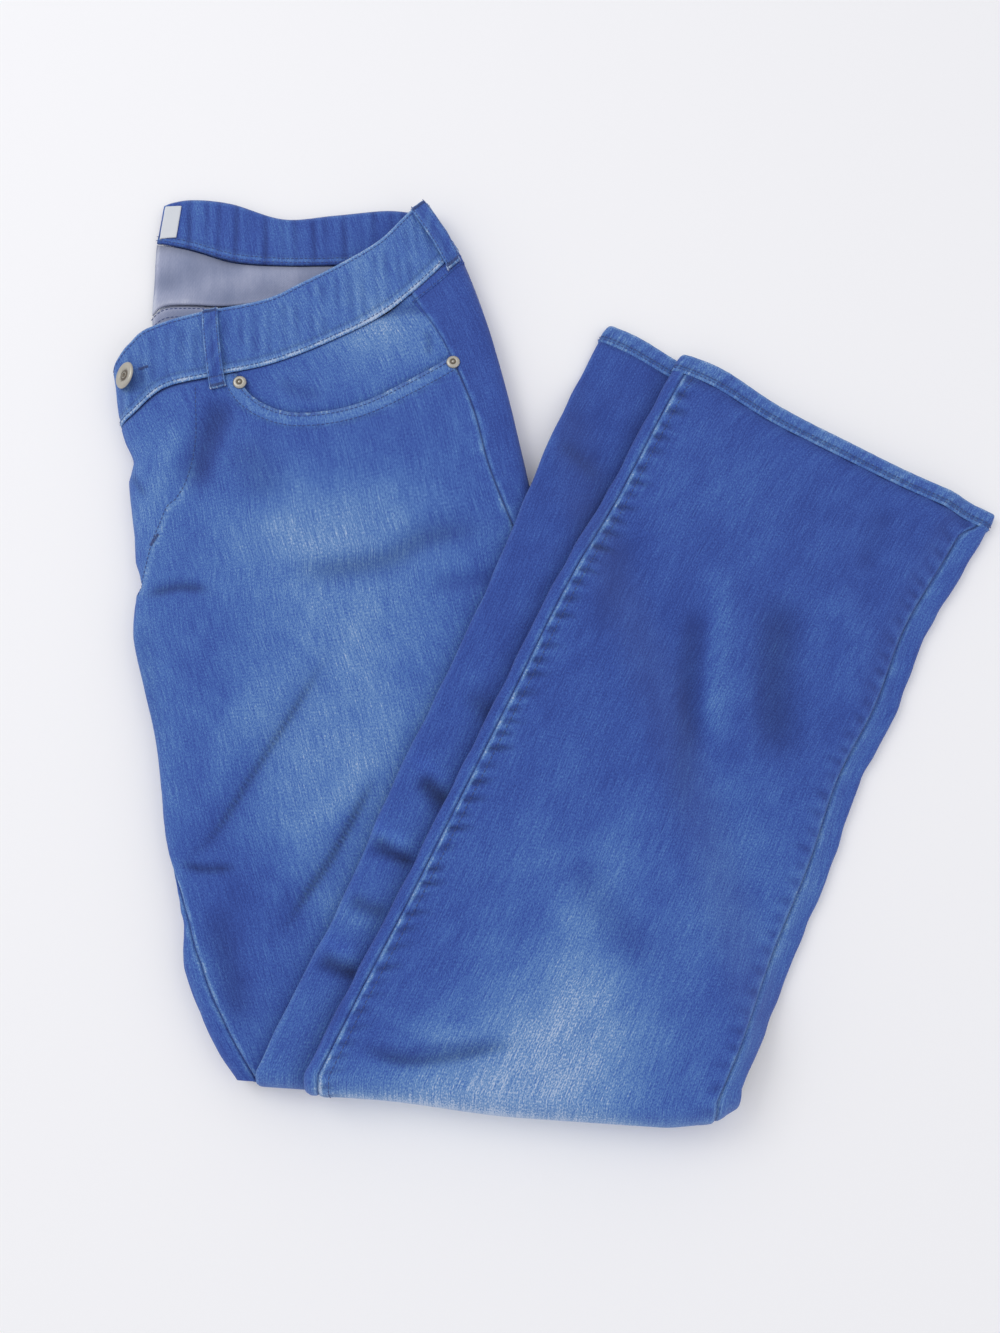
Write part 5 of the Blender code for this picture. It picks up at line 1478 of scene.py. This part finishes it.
rivetLook = {"height": 17.4, "turns": 64,
             "places": (("rivetInner", "rivet_inner", (-175.5, 190.5)),
                        ("rivetOuter", "rivet_outer", (-34.0, 206.0))),
             "profile": (
                 (0.0, 1.75, 0.25), (0.8, 1.7, 0.35), (1.2, 1.3, 0.9), (1.6, 1.15, 0.95), (2.0, 1.35, 0.5),
                 (2.6, 1.55, 0.1), (3.4, 1.45, 0.05), (4.1, 1.1, 0.1), (4.5, 0.6, 0.3), (4.6, 0.2, 0.6),
                 (4.5, 0.0, 0.8), (0.0, 0.0, 0.8))}


def buildTurned(name, node, profile, place, tilt, turns):  # a profile turned round its axis, then tilted
    profile = np.array(profile)
    angle = np.linspace(0, 2 * np.pi, turns, endpoint=False)
    radius = np.maximum(profile[:, :1], 0.01)
    x, y, z = radius * np.cos(angle), radius * np.sin(angle), profile[:, 1:2] + 0.0 * angle
    cosine, sine = math.cos(math.radians(tilt)), math.sin(math.radians(tilt))
    grid = np.stack([place[0] + cosine * x + sine * z, place[1] + y, place[2] - sine * x + cosine * z],
                    axis=-1)
    stainAndShade = profile[:, 2:3] + 0.0 * angle
    uv = np.stack([x, y], axis=-1)
    mesh = meshFrom(name, grid, {"stainAndShade": stainAndShade}, uv, ring=True)
    settle(addPiece(name, mesh, [metal], [node], "pale_metal"))


buttonHeight = float(thighHeight(0.5, *thighPlan(0.5, 20.0))) + buttonLook["rise"]
buildTurned("shankButton", "button", buttonLook["profile"], (*buttonLook["place"], buttonHeight),
            buttonLook["tilt"], buttonLook["turns"])
for name, node, (x, y) in rivetLook["places"]:
    buildTurned(name, node, rivetLook["profile"], (x, y, rivetLook["height"]), 0.0, rivetLook["turns"])

labelShape = {"corners": ((-238.6, 330.6), (-226.3, 331.2), (-228.3, 306.4), (-240.6, 305.2)), "bottom": 6.1,
              "thick": 0.7}


def buildLabel():  # blank woven tape, its left side turned down over the end of the waistband
    corners = np.array(labelShape["corners"], float)
    down, across = np.linspace(0, 1, 30)[:, None], np.linspace(0, 1, 18)[None]
    top = mix(corners[0], corners[1], across[..., None])
    low = mix(corners[3], corners[2], across[..., None])
    plan = mix(top, low, down[..., None])
    height = (labelShape["bottom"] + labelShape["thick"]
              + 0.22 * wobbleField(plan[..., 0], plan[..., 1], 9, 2.0))
    height = height - 2.2 * np.exp(-(across / 0.07) ** 2) - 0.3 * np.exp(-((1 - across) / 0.05) ** 2)
    grid = np.concatenate([plan, height[..., None]], axis=-1)
    uv = centreUv(grid)
    if normalsOf(grid)[..., 2].mean() < 0:
        grid, uv = grid[:, ::-1], uv[:, ::-1]
    zero = np.zeros(grid.shape[:2])
    clothPiece("wovenLabel", grid, {"fadeAndLight": zero, "wear": zero, "shade": zero}, uv, ["label"], [labelTape],
               labelShape["thick"],
               slotName="woven_label")


buildLabel()
print("trim built")


# Stitches

stitchLook = {"pitch": 3.1, "length": 2.35, "radius": 0.30, "lift": 0.10}
tackLook = {"step": 0.62, "lift": 0.16, "loopWidth": 2.2, "pitch": 50.0, "length": 2.3, "radius": 0.26,
            "places": (("frontThighLeft", (-27.5, 203.5), (-30.5, 197.0), 1.8),
                       ("frontThighLeft", (-226.5, 76.0), (-222.0, 84.0), 1.8),
                       ("waistbandLeft", (-243.0, 199.5), (-236.5, 201.5), 1.6))}


def stitchTree():  # wires are resampled by the pitch, and each point gets a small round stitch
    tree = bpy.data.node_groups.new("stitchRows", "GeometryNodeTree")
    for key, kind in (("Rows", "NodeSocketGeometry"), ("Pitch", "NodeSocketFloat"),
                      ("Length", "NodeSocketFloat"),
                      ("Radius", "NodeSocketFloat"), ("Thread", "NodeSocketMaterial")):
        tree.interface.new_socket(key, in_out="INPUT", socket_type=kind)
    tree.interface.new_socket("Stitches", in_out="OUTPUT", socket_type="NodeSocketGeometry")
    given = addNode(tree, "NodeGroupInput", at=(-1000, 0)).outputs
    wire = addNode(tree, "GeometryNodeMeshToCurve", inputs={"Mesh": given["Rows"]}, at=(-800, 0))
    spaced = addNode(tree, "GeometryNodeResampleCurve", {"mode": "LENGTH"},
                     {"Curve": wire.outputs[0], "Length": given["Pitch"]}, (-600, 0))
    tangent = addNode(tree, "GeometryNodeInputTangent", at=(-800, -250))
    turn = addNode(tree, "FunctionNodeAlignRotationToVector", {"axis": "Z"}, {"Vector": tangent.outputs[0]},
                   (-600, -250))
    ball = addNode(tree, "GeometryNodeMeshUVSphere", {"Segments": 8, "Rings": 6, "Radius": 1.0},
                   at=(-800, -450))
    size = addNode(tree, "ShaderNodeCombineXYZ", {},
                   {"X": given["Radius"], "Y": given["Radius"], "Z": given["Length"]}, (-600, -600))
    half = addNode(tree, "ShaderNodeVectorMath", {"operation": "MULTIPLY", 1: (1.0, 1.0, 0.5)},
                   {0: size.outputs[0]}, (-400, -600))
    placedBalls = addNode(tree, "GeometryNodeInstanceOnPoints", {},
                          {"Points": spaced.outputs[0], "Instance": ball.outputs[0],
                           "Rotation": turn.outputs[0], "Scale": half.outputs[0]}, (-300, 0))
    solid = addNode(tree, "GeometryNodeRealizeInstances", {}, {"Geometry": placedBalls.outputs[0]},
                    (-100, 0))
    smooth = addNode(tree, "GeometryNodeSetShadeSmooth", {}, {"Geometry": solid.outputs[0]}, (50, 0))
    painted = addNode(tree, "GeometryNodeSetMaterial", {},
                      {"Geometry": smooth.outputs[0], "Material": given["Thread"]}, (200, 0))
    addNode(tree, "NodeGroupOutput", {}, {"Stitches": painted.outputs[0]}, (400, 0))
    return tree


stitches = stitchTree()


def sew(name, lines, values, material):  # lines are runs of points in mm
    points, edges = [], []
    for line in lines:
        first = len(points)
        points.extend(placed(line).tolist())
        edges.extend((first + k, first + k + 1) for k in range(len(line) - 1))
    mesh = bpy.data.meshes.new(name)
    mesh.from_pydata(points, edges, [])
    item = addPiece(name, mesh, [material], [], None)
    work = item["piece"].modifiers.new("rows", "NODES")
    work.node_group = stitches
    names = {socket.name: socket.identifier for socket in stitches.interface.items_tree
             if socket.in_out == "INPUT"}
    for key in ("pitch", "length", "radius"):
        work[names[key.capitalize()]] = values[key] * mm
    work[names["Thread"]] = material
    bpy.context.view_layer.update()
    return settle(item)


def lineAcross(grid, distance, fromEnd, lift):  # a line at one distance from the first or last row
    normals = normalsOf(grid)
    if fromEnd:
        grid, normals = grid[::-1], normals[::-1]
    gone = np.concatenate([np.zeros((1, grid.shape[1])),
                           np.cumsum(np.linalg.norm(np.diff(grid, axis=0), axis=2), axis=0)])
    line = np.empty((grid.shape[1], 3))
    for column in range(grid.shape[1]):
        for k in range(3):
            line[column, k] = np.interp(distance, gone[:, column], (grid + normals * lift)[:, column, k])
    return line


def lineAlong(grid, distance, fromEnd, lift):  # the same from the first or last column
    side = -1 if fromEnd else 1
    return lineAcross(np.swapaxes(grid, 0, 1)[::side], distance, False, -side * lift)


def pathOn(piece, path, lift):  # drops a plan path on a piece
    tree = BVHTree.FromObject(piece, bpy.context.evaluated_depsgraph_get())
    line = []
    for x, y in np.asarray(path, float)[:, :2]:
        start = Vector(placed([x, y, 90.0]).tolist())
        hit = tree.ray_cast(start, Vector((0, 0, -1)))[0]
        if hit is not None:
            line.append((x, y, hit.z / mm + lift))
    return np.array(line)


def offsetPath(path, distance):  # a path moved sideways in plan, to its left for a positive distance
    path = np.asarray(path, float)
    step = np.gradient(path, axis=0)
    step = step / np.linalg.norm(step, axis=1)[:, None]
    return path + np.stack([-step[:, 1], step[:, 0]], axis=1) * distance


def tack(piece, start, end, width):  # a bar tack: close stitches square to its line
    start, end = np.array(start, float), np.array(end, float)
    run = np.linalg.norm(end - start)
    step = (end - start) / run
    side = np.array([-step[1], step[0]]) * width / 2
    lines = []
    for k in range(int(run / tackLook["step"]) + 1):
        middle = start + step * k * tackLook["step"]
        line = pathOn(piece, [middle - side, middle + side], tackLook["lift"])
        if len(line) == 2:
            lines.append(line)
    return lines


def sewAll():
    lift = stitchLook["lift"]
    mouth = smoothLine(pocketMouth, 160)
    inOpening = insideOutline(np.array([*mouth, *pocketBack]), *offsetPath(mouth, 3.0)[80:81].T)[0]
    side = -1.0 if inOpening else 1.0
    rows = [
        lineAcross(bandGrid, 2.8, True, lift), lineAcross(bandGrid, 3.2, False, lift),
        pathOn(pieces["frontThighLeft"], offsetPath(mouth, side * 2.3), lift),
        pathOn(pieces["frontThighLeft"], offsetPath(mouth, side * 9.3), lift),
        lineAcross(yokeGrid, 1.3, True, lift), lineAcross(yokeGrid, 7.0, True, lift),
        lineAcross(backGrids["Leftband"], 2.2, True, lift),
        lineAcross(backGrids["Leftband"], 5.6, True, lift),
        lineAcross(backGrids["Leftback"], 2.2, False, lift),
        lineAcross(backGrids["Leftback"], 8.4, False, lift),
        lineAlong(frontShinGrid, 6.4, False, lift),
        lineAlong(frontLoopGrid, 1.5, False, lift), lineAlong(frontLoopGrid, 1.5, True, lift),
        lineAlong(sideLoopGrid, 1.5, False, lift), lineAlong(sideLoopGrid, 1.5, True, lift),
    ]
    for grid in (hemUpperGrid, hemUnderGrid):
        for distance in (2.5, 4.7):
            line = lineAcross(grid, distance, True, lift)
            shown = line[:, 2] > 2.5
            first = int(np.argmax(~shown))
            line, shown = np.roll(line, -first, axis=0), np.roll(shown, -first)
            rows.append(line[shown])
    rows.append(pathOn(pieces["frontThighLeft"], offsetPath(smoothLine(flyPath, 80), -1.8), lift))
    sew("stitching", [line for line in rows if len(line) > 1], stitchLook, thread)
    tacks = []
    for name, grid in (("beltLoopFront", frontLoopGrid), ("beltLoopSide", sideLoopGrid)):
        for row in (2, -3):
            tacks += tack(pieces[name], grid[row, 2, :2], grid[row, -3, :2], tackLook["loopWidth"])
    for name, start, end, width in tackLook["places"]:
        tacks += tack(pieces[name], start, end, width)
    centres = []  # each stitch of a tack is one short wire along its own line
    for line in tacks:
        middle = line.mean(0)
        reach = (line[1] - line[0]) / max(np.linalg.norm(line[1] - line[0]), 1e-6)
        centres.append(np.array([middle, middle + reach * 0.02]))
    sew("barTacks", centres, tackLook, thread)


sewAll()
print("stitches sewn")


# Floor, light and camera

stageLook = {"floor": "#fbfbfc", "half": 6.0, "below": 0.0006, "world": 0.77,
             "sky": (0.965, 0.965, 1.0, 1.0),
             "lights": (("window", (-1.4, 0.7, 1.7), 1.2, 10.5), ("fill", (1.3, -0.6, 1.9), 2.0, 3.0))}


def buildStage():
    mesh = bpy.data.meshes.new("floor")
    half, low = stageLook["half"], -stageLook["below"]
    mesh.from_pydata([(-half, -half, low), (half, -half, low), (half, half, low), (-half, half, low)], [],
                     [(0, 1, 2, 3)])
    material, _, shader = newShader("paleSheet")
    shader.inputs["Base Color"].default_value = linear(stageLook["floor"])
    shader.inputs["Roughness"].default_value = 0.9
    mesh.materials.append(material)
    floor = bpy.data.objects.new("floor", mesh)
    bpy.context.scene.collection.objects.link(floor)
    world = bpy.data.worlds.new("softRoom")
    bpy.context.scene.world = world
    world.use_nodes = True
    background = world.node_tree.nodes["Background"]
    background.inputs["Color"].default_value = stageLook["sky"]
    background.inputs["Strength"].default_value = stageLook["world"]
    for name, place, size, power in stageLook["lights"]:
        light = bpy.data.lights.new(name, "AREA")
        light.size, light.energy = size, power
        lamp = bpy.data.objects.new(name, light)
        lamp.location = place
        lamp.rotation_euler = Vector(place).to_track_quat("Z", "Y").to_euler()
        bpy.context.scene.collection.objects.link(lamp)


cameraLook = {"place": (-0.0298, -0.2295, 0.7781), "lookAt": (-0.0298, -0.0303, 0.0), "lens": 33.89,
              "roll": 0.27}


def buildCamera():
    data = bpy.data.cameras.new("camera")
    data.lens, data.sensor_width, data.sensor_fit = cameraLook["lens"], 36.0, "AUTO"
    data.clip_start = 0.01
    camera = bpy.data.objects.new("camera", data)
    camera.location = cameraLook["place"]
    aim = Vector(cameraLook["place"]) - Vector(cameraLook["lookAt"])
    turn = aim.to_track_quat("Z", "Y") @ Quaternion((0, 0, 1), math.radians(cameraLook["roll"]))
    camera.rotation_euler = turn.to_euler()
    bpy.context.scene.collection.objects.link(camera)
    bpy.context.scene.camera = camera


buildStage()
buildCamera()
bpy.context.scene.view_settings.view_transform = "Standard"
bpy.context.view_layer.update()
print("scene finished")
